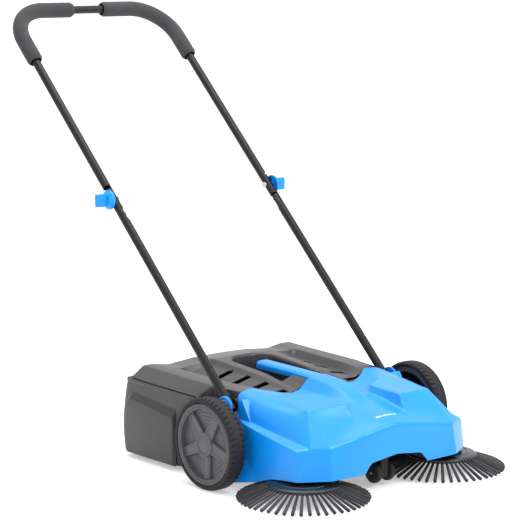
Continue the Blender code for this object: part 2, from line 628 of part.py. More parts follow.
def build_castor(machine, dark, black, steel):
    radius = 0.023
    axis_y = -0.212
    axis_z = 0.0315
    top = 0.092 - GAP
    bracket = add_object("castor_bracket", box_mesh(
        "castor_bracket", (0.022, 0.030, top - 0.020), (0, axis_y, (top + 0.020) / 2), 0.002),
        dark, machine)
    hole = rod_mesh("castor_hole", 0.0034, 0.040, "X", (0, axis_y, axis_z), steps=16)
    boolean(bracket, add_cutter("cut_castor_hole", hole, machine), "DIFFERENCE")
    axis = empty_at("castor_axis", (0, axis_y, axis_z), machine)
    add_object("castor_pin", rod_mesh("castor_pin", 0.0030, 0.0560, "X", steps=16), steel, axis)
    for side, sign in SIDES:
        profile = [(0.0034, 0.0), (radius - 0.003, 0.0), (radius, 0.003), (radius, 0.011),
                   (radius - 0.004, 0.015), (0.0034, 0.015)]
        wheel = turned("castor_wheel_" + side, profile, black, axis,
                       (sign * 0.0125, 0, 0), (0, sign * math.pi / 2, 0), 32)
        smooth_turned(wheel)


def smooth_turned(item):
    item.modifiers["turn"].use_smooth_shade = True


# ---------------------------------------------------------------- wheels and drive
def build_wheel(side, sign, machine, dark, rubber, black, steel):
    axis = empty_at("wheel_axis_" + side, (sign * WHEEL_OUTER_X, 0, WHEEL_RADIUS), machine)
    outward = (0, sign * math.pi / 2, 0)
    seat = WHEEL_RADIUS - TYRE_WALL
    shoulder = 0.005
    tyre = [(seat, -TYRE_WIDTH), (WHEEL_RADIUS - shoulder, -TYRE_WIDTH),
            (WHEEL_RADIUS, shoulder - TYRE_WIDTH), (WHEEL_RADIUS, -shoulder),
            (WHEEL_RADIUS - shoulder, 0), (seat, 0)]
    turned("tyre_" + side, tyre, rubber, axis, (0, 0, 0), outward, 56)
    edge = seat - GAP
    back = -0.030
    face = -0.0100
    rim = [(0.0062, back), (0.0160, back), (0.0160, face - 0.008), (0.078, face - 0.008),
           (0.078, -0.036), (edge, -0.036), (edge, -0.0012), (0.080, -0.0012),
           (0.076, face), (0.030, face), (0.0262, -0.004), (0.0254, -0.004), (0.0254, face),
           (0.0062, face)]
    wheel = turned("rim_" + side, rim, dark, axis, (0, 0, 0), outward, 40)
    for number in range(SPOKES):
        angle = 2 * math.pi * number / SPOKES
        spoke = box_mesh("spoke", (0.014, 0.050, 0.0075), (0, 0.053, -0.0072))
        boolean(wheel, add_cutter(f"join_spoke_{side}_{number}", spoke, axis,
                                  rotation=(Matrix.Rotation(outward[1], 3, "Y")
                                            @ Matrix.Rotation(angle, 3, "Z")).to_euler()), "UNION")
    cap = [(0, -0.0088), (HUB_CAP_RADIUS, -0.0088), (HUB_CAP_RADIUS, -0.0040), (0.019, 0.0),
           (0, 0.0)]
    turned("hub_cap_" + side, cap, dark, axis, (0, 0, 0), outward, 32)
    crown_face = WHEEL_OUTER_X - 0.2206
    sleeve_out = back - GAP
    gear = [(0.0056, -crown_face), (0.030, -crown_face), (0.033, 0.004 - crown_face),
            (0.033, 0.007 - crown_face), (0.012, 0.007 - crown_face), (0.012, sleeve_out),
            (0.0056, sleeve_out)]
    turned("wheel_gear_" + side, gear, black, axis, (0, 0, 0), outward, 32)
    axle_in = 0.1850
    axle_out = WHEEL_OUTER_X - 0.0094
    add_object("stub_axle_" + side, rod_mesh(
        "stub_axle_" + side, 0.0050, axle_out - axle_in, "X",
        (sign * (axle_in + axle_out) / 2, 0, WHEEL_RADIUS), steps=24), steel, machine)


def build_drive_shaft(side, sign, machine, black):
    front, rear = -0.180, -0.0225
    axis = empty_at("drive_axis_" + side, (sign * SHAFT_X, front, WHEEL_RADIUS), machine)
    length = rear - front
    pinion, width, shaft = 0.0135, 0.012, 0.0040
    profile = [(0, 0), (pinion, 0), (pinion, width), (shaft, width + 0.002),
               (shaft, length - width - 0.002), (pinion, length - width), (pinion, length),
               (0, length)]
    turned("drive_shaft_" + side, profile, black, axis, (0, 0, 0), (-math.pi / 2, 0, 0), 20)


def build_side_brush(side, sign, machine, black, bristle):
    axis = empty_at("side_brush_axis_" + side, (sign * BRUSH_X, BRUSH_Y, 0), machine)
    plate_z = 0.034
    plate = [(0, plate_z), (0.030, plate_z), (0.034, plate_z - 0.004), (0.074, plate_z - 0.006),
             (BRUSH_PLATE_RADIUS, plate_z - 0.002), (BRUSH_PLATE_RADIUS, plate_z + 0.002),
             (0.074, plate_z + 0.006), (0.034, plate_z + 0.012), (0.0066, plate_z + 0.014),
             (0.0066, 0.0780), (0.0040, 0.0784), (0.0040, 0.0860), (0, 0.0860)]
    turned("side_brush_plate_" + side, plate, black, axis, steps=40)
    tuft = [(0.060, plate_z - 0.0065), (0.060, 0.0200), (BRUSH_RADIUS - 0.003, 0.0),
            (BRUSH_RADIUS, 0.0060), (BRUSH_RADIUS - 0.002, 0.0110),
            (BRUSH_PLATE_RADIUS, 0.0310), (0.0760, 0.0275)]
    turned("side_bristles_" + side, tuft, bristle, axis, steps=50)
    crown = [(0.0044, 0.0788), (0.0260, 0.0788), (0.0260, 0.0840), (0.0230, 0.0868),
             (0.0044, 0.0868)]
    turned("side_brush_gear_" + side, crown, black, axis, steps=32)


def build_main_brush(machine, black, bristle):
    axis = empty_at("main_brush_axis", (0, MAIN_BRUSH_Y, MAIN_BRUSH_Z), machine)
    half = MAIN_BRUSH_HALF
    core = 0.022
    journal = 0.0055
    end_left = half + 0.011
    end_right = 0.2445
    shaft = [(0, -end_left), (journal, -end_left), (journal, -half - 0.003),
             (core, -half - 0.002), (core, half + 0.002), (journal, half + 0.003),
             (journal, end_right), (0, end_right)]
    turned("main_brush_core", shaft, black, axis, (0, 0, 0), (0, math.pi / 2, 0), 24)
    fill = [(core + GAP, -half), (MAIN_BRUSH_RADIUS, -half), (MAIN_BRUSH_RADIUS, half),
            (core + GAP, half)]
    turned("main_brush_bristles", fill, bristle, axis, (0, 0, 0), (0, math.pi / 2, 0), 36)
    reach = math.hypot(MAIN_BRUSH_Y, WHEEL_RADIUS - MAIN_BRUSH_Z)
    pinion = reach - 0.033 - 0.0006
    gear = [(journal + GAP, 0.2342), (pinion, 0.2342), (pinion, 0.2412), (journal + GAP, 0.2412)]
    turned("main_brush_pinion", gear, black, axis, (0, 0, 0), (0, math.pi / 2, 0), 24)
    spur_axis = empty_at("spur_axis", (0, 0, WHEEL_RADIUS), machine)
    spur = [(0.0124, 0.2342), (0.033, 0.2342), (0.033, 0.2412), (0.0124, 0.2412)]
    turned("wheel_spur_right", spur, black, spur_axis, (0, 0, 0), (0, math.pi / 2, 0), 32)


# ---------------------------------------------------------------- handle
def lap_cutter(name, parent, inner_x, outer_x, start, end):
    """Box that takes one half of a tube away between two places along it."""
    low, high = sorted((inner_x, outer_x))
    size = (high - low, end - start, 4 * TUBE_RADIUS)
    centre = ((low + high) / 2, (start + end) / 2, 0)
    return add_cutter(name, box_mesh(name, size, centre), parent)


def slanted_cutter(name, parent, x, sign, end):
    """Block that takes the inner half of a lower tube away, from a slanted cut to its end."""
    middle = x + sign * SEAM_GAP
    slope = (SLANT_INNER - SLANT_MIDDLE) / TUBE_RADIUS
    far = 2 * TUBE_RADIUS
    start = HINGE_REACH - SLANT_MIDDLE
    outline = [(middle, start), (x - sign * far, start - slope * far), (x - sign * far, end),
               (middle, end)]
    half = 2 * TUBE_RADIUS
    return add_cutter(name, outline_mesh(name, outline, -half, half, "Z"), parent)


def build_lower_tube(side, sign, machine, pieces):
    """Lower tube with its pivot bolt, cap and hinge insert."""
    axis = empty_at("lower_axis_" + side, (0, PIVOT_Y, PIVOT_Z), machine)
    axis.rotation_euler = (HANDLE_LEAN, 0, 0)
    x = sign * HANDLE_X
    foot = -0.0135
    lap_end = HINGE_REACH + LAP - 0.010
    bore = TUBE_RADIUS - TUBE_WALL
    ring = [(bore, foot), (TUBE_RADIUS, foot), (TUBE_RADIUS, lap_end), (bore, lap_end)]
    tube = turned("lower_tube_" + side, ring, pieces["dark"], axis, (x, 0, 0),
                  (-math.pi / 2, 0, 0), 24)
    half = slanted_cutter("cut_lap_" + side, axis, x, sign, lap_end + 0.01)
    boolean(tube, half, "DIFFERENCE")
    for name, place, radius in (("pivot", 0, 0.0044), ("clamp", HINGE_REACH, 0.0035)):
        hole = rod_mesh(name, radius, 0.040, "X", (x, place, 0), steps=20)
        boolean(tube, add_cutter(f"cut_{name}_{side}", hole, axis), "DIFFERENCE")
    plug_start, plug_end = HINGE_REACH - 0.095, HINGE_REACH - 0.0345
    plug_radius = bore - GAP
    add_object("hinge_insert_" + side, rod_mesh(
        "hinge_insert_" + side, plug_radius, plug_end - plug_start, "Y",
        (x, (plug_start + plug_end) / 2, 0), steps=24), pieces["black"], axis)
    bolt_in, bolt_out = 0.1885, 0.2480
    add_object("pivot_bolt_" + side, rod_mesh(
        "pivot_bolt_" + side, 0.0040, bolt_out - bolt_in, "X",
        (sign * (bolt_in + bolt_out) / 2, 0, 0), steps=20), pieces["steel"], axis)
    cap_in = HANDLE_X + TUBE_RADIUS + GAP
    cap = [(0.0044, 0), (0.0225, 0), (0.0230, 0.002), (0.0215, 0.0055), (0.0, 0.0075),
           (0.0, 0.0050), (0.0044, 0.0050)]
    turned("pivot_cap_" + side, cap, pieces["blue"], axis, (sign * cap_in, 0, 0),
           (0, sign * math.pi / 2, 0), 32)


def handle_path(start, end_x=0.0):
    """Half of the handle's line from the hinge end to the middle, as (x, along)."""
    leg_end = TOP_REACH - HINGE_REACH - BEND_RADIUS
    bend = arc((HANDLE_X - BEND_RADIUS, leg_end), BEND_RADIUS, 0, 90, 8)
    return [(HANDLE_X, start), *bend, (end_x, leg_end + BEND_RADIUS)]


def build_upper_handle(machine, pieces):
    hinge_y = PIVOT_Y + HINGE_REACH * math.cos(HANDLE_LEAN)
    hinge_z = PIVOT_Z + HINGE_REACH * math.sin(HANDLE_LEAN)
    axis = empty_at("upper_axis", (0, hinge_y, hinge_z), machine)
    axis.rotation_euler = (HANDLE_LEAN, 0, 0)
    lap_start = -LAP + 0.005

    def whole(start):
        half = handle_path(start)[:-1]
        return ([(x, along, 0) for x, along in half]
                + [(-x, along, 0) for x, along in reversed(half)])

    handle = add_object("upper_handle", tube_mesh("upper_handle", whole(lap_start), TUBE_RADIUS, 4),
                        pieces["dark"], axis)
    bore = tube_mesh("handle_bore", whole(lap_start - 0.01), TUBE_RADIUS - TUBE_WALL, 2)
    boolean(handle, add_cutter("cut_handle_bore", bore, axis), "DIFFERENCE")
    for side, sign in SIDES:
        x = sign * HANDLE_X
        half = lap_cutter("cut_upper_lap_" + side, axis, x - sign * 0.0006,
                          x + sign * 2 * TUBE_RADIUS, lap_start - 0.01, LAP)
        boolean(handle, half, "DIFFERENCE")
        hole = rod_mesh("clamp_hole", 0.0035, 0.040, "X", (x, 0, 0), steps=20)
        boolean(handle, add_cutter("cut_clamp_hole_" + side, hole, axis), "DIFFERENCE")
        build_grip(side, sign, axis, pieces)
    return axis


def build_grip(side, sign, axis, pieces):
    """Long foam grip round the bend, open where the tube passes through."""
    path = handle_path(GRIP_START - HINGE_REACH, GRIP_INNER_X)
    points = [(sign * x, along, 0) for x, along in path]
    longer = [(points[0][0], points[0][1] - 0.02, 0), *points[1:-1],
              (points[-1][0] - sign * 0.02, points[-1][1], 0)]
    grip = add_object("foam_grip_" + side, tube_mesh("foam_grip_" + side, points, GRIP_RADIUS, 4),
                      pieces["foam"], axis)
    bore = tube_mesh("grip_bore", longer, TUBE_RADIUS + GAP, 4)
    boolean(grip, add_cutter("cut_grip_bore_" + side, bore, axis), "DIFFERENCE")


def build_clamp(side, sign, machine, pieces):
    """Wing knob with its bolt, and the nut on the tube's inner side."""
    hinge_y = PIVOT_Y + HINGE_REACH * math.cos(HANDLE_LEAN)
    hinge_z = PIVOT_Z + HINGE_REACH * math.sin(HANDLE_LEAN)
    axis = empty_at("clamp_axis_" + side, (sign * HANDLE_X, hinge_y, hinge_z), machine)
    base = TUBE_RADIUS + GAP
    outward = (0, sign * math.pi / 2, 0)
    knob_profile = [(0, base), (0.0205, base), (0.0230, base + 0.003), (0.0225, base + 0.007),
                    (0.0150, base + 0.0125), (0, base + 0.0140)]
    knob = turned("clamp_knob_" + side, knob_profile, pieces["blue"], axis, (0, 0, 0), outward, 32)
    wing_in, wing_out = base + 0.004, WING_REACH - HANDLE_X
    wing = box_mesh("wing_" + side, (wing_out - wing_in, 0.0075, 0.029),
                    (sign * (wing_in + wing_out) / 2, 0, 0), 0.0015)
    boolean(knob, add_cutter("join_wing_" + side, wing, axis), "UNION")
    hole_depth = 0.006
    hole = rod_mesh("knob_bore", 0.0034, hole_depth * 2, "X", (sign * base, 0, 0), steps=16)
    boolean(knob, add_cutter("cut_knob_bore_" + side, hole, axis), "DIFFERENCE")
    bolt_in, bolt_out = -0.0155, base + hole_depth - GAP
    add_object("clamp_bolt_" + side, rod_mesh(
        "clamp_bolt_" + side, 0.0030, bolt_out - bolt_in, "X",
        (sign * (bolt_in + bolt_out) / 2, 0, 0), steps=16), pieces["steel"], axis)
    nut = [(0.0037, 0), (0.0037, 0.005), (0.0068, 0.005), (0.0068, 0)]
    turned("clamp_nut_" + side, nut, pieces["steel"], axis,
           (-sign * (TUBE_RADIUS + GAP + 0.005), 0, 0), outward, 6)


# ---------------------------------------------------------------- assembly
def main():
    clear_scene()
    global sweeper, cutters
    sweeper = make_collection("walk_behind_sweeper")
    cutters = make_collection("cutters")
    cutters.hide_render = True

    blue = make_material("cover_blue", COVER_BLUE, 0.38)
    grey = make_material("hopper_grey", GREY, 0.55)
    dark = make_material("dark_paint", DARK, 0.45)
    black = make_material("black_plastic", BLACK, 0.50)
    rubber = make_material("tyre_rubber", DARK, 0.80)
    foam = make_material("grip_foam", DARK, 0.90)
    bristle = make_material("bristle", BLACK, 0.60)
    steel = make_material("zinc_steel", STEEL, 0.35, 1.0)
    pieces = {"blue": blue, "dark": dark, "black": black, "foam": foam, "steel": steel}

    machine = empty_at("machine", (0, MACHINE_Y, 0), None)
    build_cover(machine, blue)
    build_chassis(machine, dark)
    build_brush_hood(machine, black)
    build_castor(machine, dark, black, steel)
    hopper = empty_at("hopper_slide", (0, 0, 0), machine)
    build_hopper(hopper, grey, black, rubber)
    build_main_brush(machine, black, bristle)
    build_upper_handle(machine, pieces)
    for side, sign in SIDES:
        build_wheel(side, sign, machine, dark, rubber, black, steel)
        build_drive_shaft(side, sign, machine, black)
        build_side_brush(side, sign, machine, black, bristle)
        build_lower_tube(side, sign, machine, pieces)
        build_clamp(side, sign, machine, pieces)


main()
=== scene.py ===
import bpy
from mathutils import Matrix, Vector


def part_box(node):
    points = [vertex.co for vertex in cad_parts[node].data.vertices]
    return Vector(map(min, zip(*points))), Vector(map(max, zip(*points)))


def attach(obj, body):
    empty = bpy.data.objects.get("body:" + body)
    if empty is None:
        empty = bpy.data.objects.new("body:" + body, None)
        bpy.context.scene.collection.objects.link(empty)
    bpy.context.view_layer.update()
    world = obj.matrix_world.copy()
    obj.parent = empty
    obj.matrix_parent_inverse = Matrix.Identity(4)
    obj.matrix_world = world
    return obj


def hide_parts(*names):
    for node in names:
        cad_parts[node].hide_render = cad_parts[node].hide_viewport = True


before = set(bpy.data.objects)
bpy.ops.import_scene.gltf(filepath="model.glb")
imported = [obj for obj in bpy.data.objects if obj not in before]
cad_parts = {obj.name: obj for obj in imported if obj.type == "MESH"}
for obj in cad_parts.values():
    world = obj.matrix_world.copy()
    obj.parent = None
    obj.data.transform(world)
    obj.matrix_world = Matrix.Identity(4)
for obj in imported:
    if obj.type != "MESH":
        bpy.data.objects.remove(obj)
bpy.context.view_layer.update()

import math
import random

import bmesh
import bpy
from mathutils import Matrix, Vector
from mathutils.bvhtree import BVHTree

random.seed(7)
SIDES = (("left", -1), ("right", 1))


def centre_of(node):
    """Middle of a CAD node's box, in metres."""
    low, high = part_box(node)
    return (low + high) / 2


AXLE = centre_of("stub_axle_right")
AXLE_Y = AXLE.y
WHEEL_RADIUS = AXLE.z
WHEEL_OUTER_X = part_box("tyre_right")[1].x
FRONT_LOW = 0.050              # lower edge of the cover's front
COVER_WALL, HOPPER_WALL = 0.0026, 0.0026
SEAT = 0.0893                  # the tyre sits on the rim at this radius
BRUSH = centre_of("side_brush_plate_right")
BRUSH_X, BRUSH_Y = BRUSH.x, BRUSH.y
BRUSH_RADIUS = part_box("side_bristles_right")[1].x - BRUSH_X
PIVOT = centre_of("pivot_cap_right")
HINGE = centre_of("clamp_bolt_right")
HANDLE_X = centre_of("lower_tube_right").x
LEAN = math.atan2(HINGE.z - PIVOT.z, HINGE.y - PIVOT.y)
TUBE_RADIUS = 0.010
TUBE_WALL = 0.0015
TOP_BAR = 0.6024               # from the fold hinge along the tube to the top bar
BEND_RADIUS = 0.100
GRIP_RADIUS = 0.0188
GRIP_START = 0.434             # from the fold hinge to the grip's lower end
GRIP_INNER_X = 0.0452          # the grip's end on the top bar
LAP = 0.0355                   # the half laps reach this far from the clamp bolt
WING_REACH = 0.2837            # outer end of the clamp knob's wings
ROLLER = centre_of("main_brush_core")
GAP = 0.0004                   # clearance between pieces that touch


# ---------------------------------------------------------------- materials
def node_of(tree, kind, **values):
    """A new shader node; each value goes to the input or the property of that name."""
    node = tree.nodes.new(kind)
    for key, value in values.items():
        if key in node.inputs:
            node.inputs[key].default_value = value
        else:
            setattr(node, key, value)
    return node


def mapped(tree, source, to_min, to_max, from_min=0.0, from_max=1.0):
    """Socket that carries the source's value, mapped from one range to another."""
    step = node_of(tree, "ShaderNodeMapRange")
    limits = {"From Min": from_min, "From Max": from_max, "To Min": to_min, "To Max": to_max}
    for socket, value in limits.items():
        step.inputs[socket].default_value = value
    tree.links.new(source, step.inputs["Value"])
    return step.outputs[0]


def brightened(tree, colour, factor):
    """Socket that carries the colour with its brightness multiplied by the factor."""
    step = node_of(tree, "ShaderNodeHueSaturation")
    tree.links.new(factor, step.inputs["Value"])
    tree.links.new(colour, step.inputs["Color"])
    return step.outputs[0]


PATCH_SCALE = 9.0            # slow patches of tone, per metre
ROUGH_SPREAD = 0.06          # roughness wanders this far to each side


def finish(name, colour, rough, grain=900.0, depth=0.00006, mottle=0.06, edge=0.0, edge_highlight=1.35,
           metallic=0.0, sheen=0.0, specular=0.5, streak=None, tone=False, pits=0.0):
    """A surface with a fine grain, slow patches of tone and softened edges, lightened along them by
    a painted highlight.
    """
    material = bpy.data.materials.new(name)
    material.use_nodes = True
    tree = material.node_tree
    tree.nodes.clear()
    link = tree.links.new
    out = node_of(tree, "ShaderNodeOutputMaterial")
    shader = node_of(tree, "ShaderNodeBsdfPrincipled")
    shader.inputs["Metallic"].default_value = metallic
    shader.inputs["Sheen Weight"].default_value = sheen
    shader.inputs["Specular IOR Level"].default_value = specular
    link(shader.outputs[0], out.inputs["Surface"])
    place = node_of(tree, "ShaderNodeTexCoord").outputs["Object"]
    grain_place = place
    if streak:
        stretch = node_of(tree, "ShaderNodeMapping")
        stretch.inputs["Scale"].default_value = streak
        link(place, stretch.inputs["Vector"])
        grain_place = stretch.outputs[0]

    patches = node_of(tree, "ShaderNodeTexNoise", Scale=PATCH_SCALE, Detail=4.0, Roughness=0.55)
    link(place, patches.inputs["Vector"])
    speckle = node_of(tree, "ShaderNodeTexNoise", Scale=grain, Detail=3.0, Roughness=0.6)
    link(grain_place, speckle.inputs["Vector"])

    tint = node_of(tree, "ShaderNodeMix", data_type="RGBA")
    ends = [socket for socket in tint.inputs if socket.type == "RGBA"]
    for socket, share in zip(ends, (1 - mottle, 1 + mottle)):
        socket.default_value = [min(1.0, c * share) for c in colour] + [1.0]
    link(mapped(tree, patches.outputs["Fac"], 0.0, 1.0, 0.35, 0.65), tint.inputs["Factor"])
    shade = next(socket for socket in tint.outputs if socket.type == "RGBA")
    grains = mapped(tree, speckle.outputs["Fac"], 1 - mottle, 1 + mottle, 0.3, 0.7)
    shade = brightened(tree, shade, grains)
    # each strand's colour is scaled by its tone attribute: random strand tone, with painted shade
    # and light along the strand
    if tone:
        strand = node_of(tree, "ShaderNodeAttribute", attribute_name="tone")
        shade = brightened(tree, shade, strand.outputs["Fac"])

    bump = node_of(tree, "ShaderNodeBump", Strength=1.0, Distance=depth)
    link(speckle.outputs["Fac"], bump.inputs["Height"])
    link(bump.outputs[0], shader.inputs["Normal"])
    first_bump = bump
    if pits:
        cells = node_of(tree, "ShaderNodeTexVoronoi", Scale=pits)
        link(place, cells.inputs["Vector"])
        first_bump = node_of(tree, "ShaderNodeBump", Strength=1.0, Distance=depth * 2.0)
        link(cells.outputs["Distance"], first_bump.inputs["Height"])
        link(first_bump.outputs[0], bump.inputs["Normal"])

    link(mapped(tree, patches.outputs["Fac"], max(0.02, rough - ROUGH_SPREAD),
                min(1.0, rough + ROUGH_SPREAD)), shader.inputs["Roughness"])

    if edge > 0:
        rounding = node_of(tree, "ShaderNodeBevel", samples=4, Radius=edge)
        link(rounding.outputs[0], first_bump.inputs["Normal"])
        geometry = node_of(tree, "ShaderNodeNewGeometry")
        facing = node_of(tree, "ShaderNodeVectorMath", operation="DOT_PRODUCT")
        link(rounding.outputs[0], facing.inputs[0])
        link(geometry.outputs["Normal"], facing.inputs[1])
        # painted highlight: the base colour is lightened where the rounded normal turns away from
        # the face, as if light caught the edge
        painted_highlight = mapped(tree, facing.outputs["Value"], 1.0, edge_highlight, 0.995, 0.90)
        shade = brightened(tree, shade, painted_highlight)
    link(shade, shader.inputs["Base Color"])
    return material


# edge_highlight sets how far each material's edges are lightened by a painted highlight
BLUE = finish("cover_blue_plastic", (0.001, 0.232, 0.745), 0.34, grain=1500, depth=0.000012,
              mottle=0.02, edge=0.0012, edge_highlight=1.10, specular=0.38)
GREY = finish("hopper_grey_plastic", (0.029, 0.027, 0.030), 0.30, grain=1300, depth=0.00003,
              mottle=0.05, edge=0.0010, edge_highlight=1.35, specular=0.38)
DARK = finish("wheel_dark_plastic", (0.056, 0.053, 0.058), 0.44, grain=1300, depth=0.00003,
              mottle=0.07, edge=0.0008, edge_highlight=1.5)
FRAME = finish("frame_powder_coat", (0.006, 0.006, 0.008), 0.44, grain=700, depth=0.00005,
               mottle=0.08, edge=0.0012)
TUBE = finish("tube_powder_coat", (0.008, 0.007, 0.009), 0.36, grain=620, depth=0.00003,
              mottle=0.07, edge=0.0006, specular=0.26)
# black plastic; inside the wheels and in the grips' bores it is painted shade
BLACK_PLASTIC_AND_SHADE = finish("black_plastic", (0.006, 0.006, 0.007), 0.42, grain=1200, depth=0.00003,
               mottle=0.10, edge=0.0008, edge_highlight=1.6, specular=0.4)
GLOSS = finish("brush_disc_plastic", (0.008, 0.012, 0.014), 0.24, grain=1200, depth=0.00001,
               mottle=0.10, edge=0.0006, edge_highlight=1.6)
RUBBER = finish("tyre_rubber", (0.014, 0.013, 0.015), 0.62, grain=1000, depth=0.00008,
                mottle=0.12, edge=0.0008, edge_highlight=1.5, specular=0.22)
LIP = finish("lip_rubber", (0.014, 0.014, 0.015), 0.80, grain=500, depth=0.00008, mottle=0.1,
             specular=0.3)
FOAM = finish("grip_foam", (0.040, 0.037, 0.041), 0.92, grain=1500, depth=0.00014, mottle=0.16,
              specular=0.22, sheen=0.10, pits=1100.0)
# the bristles' tone attribute carries random strand tone plus painted shade toward the roots
BRISTLE = finish("brush_bristle", (0.022, 0.021, 0.025), 0.36, grain=800, depth=0.00003,
                 mottle=0.12, tone=True, specular=0.4)
ZINC = finish("zinc_plated_steel", (0.60, 0.61, 0.63), 0.33, grain=500, depth=0.00002,
              mottle=0.05, metallic=1.0, edge=0.0005, edge_highlight=1.05, streak=(1.0, 1.0, 0.2))
MARK = finish("badge_ivory", (0.40, 0.56, 0.56), 0.50, grain=900, depth=0.00001, mottle=0.04,
              edge=0.0003, edge_highlight=1.05)


# ---------------------------------------------------------------- mesh helpers
def as_mesh(bm, name, matrix=None):
    """Ends a bmesh: its faces turned outwards, moved by the matrix, as a mesh."""
    bmesh.ops.recalc_face_normals(bm, faces=bm.faces)
    if matrix is not None:
        bmesh.ops.transform(bm, matrix=matrix, verts=bm.verts)
    mesh = bpy.data.meshes.new(name)
    bm.to_mesh(mesh)
    bm.free()
    return mesh


def as_object(name, mesh):
    """An object in the scene for the mesh."""
    item = bpy.data.objects.new(name, mesh)
    bpy.context.scene.collection.objects.link(item)
    return item


def solid(bm, name, matrix=None):
    """Ends a bmesh as an object in the scene."""
    return as_object(name, as_mesh(bm, name, matrix))


def settle(item):
    """Turns the modifiers into plain geometry."""
    bpy.context.view_layer.update()
    graph = bpy.context.evaluated_depsgraph_get()
    made = bpy.data.meshes.new_from_object(item.evaluated_get(graph))
    item.modifiers.clear()
    item.data = made
    return item


def boolean(item, bm, operation="DIFFERENCE"):
    """Cuts the solids in the bmesh out of the item, or joins them to it."""
    cutter = solid(bm, "cutter")
    step = item.modifiers.new("cut", "BOOLEAN")
    step.object = cutter
    step.operation = operation
    step.solver = "EXACT"
    settle(item)
    bpy.data.objects.remove(cutter)
    return item


def piece(item, material, body, nodes=(), angle=32, extra=()):
    """Gives an object its place, material, body and shading."""
    item.data.transform(Matrix.Translation((0, AXLE_Y, 0)))
    if not item.data.materials:
        item.data.materials.append(material)
        for more in extra:
            item.data.materials.append(more)
    for face in item.data.polygons:
        face.use_smooth = True
    item.data.set_sharp_from_angle(angle=math.radians(angle))
    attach(item, body)
    if nodes:
        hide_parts(*nodes)
    return item


def box_into(bm, size, centre, matrix=None):
    """A box; returns its corners."""
    made = bmesh.ops.create_cube(bm, size=1.0)["verts"]
    bmesh.ops.scale(bm, vec=size, verts=made)
    bmesh.ops.translate(bm, vec=centre, verts=made)
    if matrix is not None:
        bmesh.ops.transform(bm, matrix=matrix, verts=made)
    return made


def lathe_into(bm, profile, steps, matrix=None, closed=True):
    """Turns (radius, along) points round the local Z axis."""
    rings = []
    for radius, along in profile:
        if radius < 1e-6:
            rings.append([bm.verts.new((0, 0, along))] * steps)
            continue
        rings.append([bm.verts.new((radius * math.cos(2 * math.pi * k / steps),
                                    radius * math.sin(2 * math.pi * k / steps), along))
                      for k in range(steps)])
    pairs = list(zip(rings, rings[1:]))
    if closed:
        pairs.append((rings[-1], rings[0]))
    for first, second in pairs:
        for k in range(steps):
            after = (k + 1) % steps
            corners = []
            for vert in (first[k], first[after], second[after], second[k]):
                if vert not in corners:
                    corners.append(vert)
            if len(corners) > 2:
                bm.faces.new(corners)
    made = list({vert for ring in rings for vert in ring})
    if matrix is not None:
        bmesh.ops.transform(bm, matrix=matrix, verts=made)
    return made


def bridge(bm, first, second):
    """A band of faces between two rings of the same number of points."""
    count = len(first)
    for k in range(count):
        after = (k + 1) % count
        bm.faces.new((first[k], first[after], second[after], second[k]))


def loft_into(bm, rings, matrix=None, mirrored_cap=False):
    """A closed solid through rings of the same number of points."""
    loops = [[bm.verts.new(point) for point in ring] for ring in rings]
    count = len(loops[0])
    for first, second in zip(loops, loops[1:]):
        bridge(bm, first, second)
    bm.faces.new(list(reversed(loops[0])))
    if mirrored_cap:
        for k in range(count // 2 - 1):
            bm.faces.new((loops[-1][k], loops[-1][k + 1], loops[-1][count - 2 - k],
                          loops[-1][count - 1 - k]))
    else:
        bm.faces.new(loops[-1])
    made = [vert for loop in loops for vert in loop]
    if matrix is not None:
        bmesh.ops.transform(bm, matrix=matrix, verts=made)
    return made


def prism_into(bm, outline, low, high, axis):
    """A flat outline pushed from low to high along one axis."""
    place = {"X": lambda a, b, c: (c, a, b),
             "Y": lambda a, b, c: (a, c, b),
             "Z": lambda a, b, c: (a, b, c)}[axis]
    return loft_into(bm, [[place(a, b, low) for a, b in outline],
                          [place(a, b, high) for a, b in outline]])


def round_edges(bm, verts, width, segments=2, least=25):
    """Rounds the sharper edges among these vertices."""
    bmesh.ops.recalc_face_normals(bm, faces=bm.faces)
    chosen = set(verts)
    edges = [e for e in bm.edges if e.verts[0] in chosen and e.verts[1] in chosen
             and len(e.link_faces) == 2 and e.calc_face_angle(0) > math.radians(least)]
    bmesh.ops.bevel(bm, geom=edges, offset=width, segments=segments, profile=0.6,
                    affect="EDGES", clamp_overlap=True)


def arc(centre, radius, start, end, steps):
    """Points on an arc, from one angle in degrees to the other."""
    return [(centre[0] + radius * math.cos(math.radians(start + (end - start) * k / steps)),
             centre[1] + radius * math.sin(math.radians(start + (end - start) * k / steps)))
            for k in range(steps + 1)]


def outward(sign, x=0.0, y=0.0, z=0.0):
    """Frame whose local Z points out of that side of the machine."""
    return Matrix.Translation((x, y, z)) @ Matrix.Rotation(sign * math.pi / 2, 4, "Y")


def skin_height(item):
    """Height of an object's upper skin at a place, seen from straight above."""
    tree = BVHTree.FromPolygons([vert.co for vert in item.data.vertices],
                                [tuple(face.vertices) for face in item.data.polygons])
    return lambda x, y: tree.ray_cast(Vector((x, y, 0.3)), Vector((0, 0, -1)))[0].z


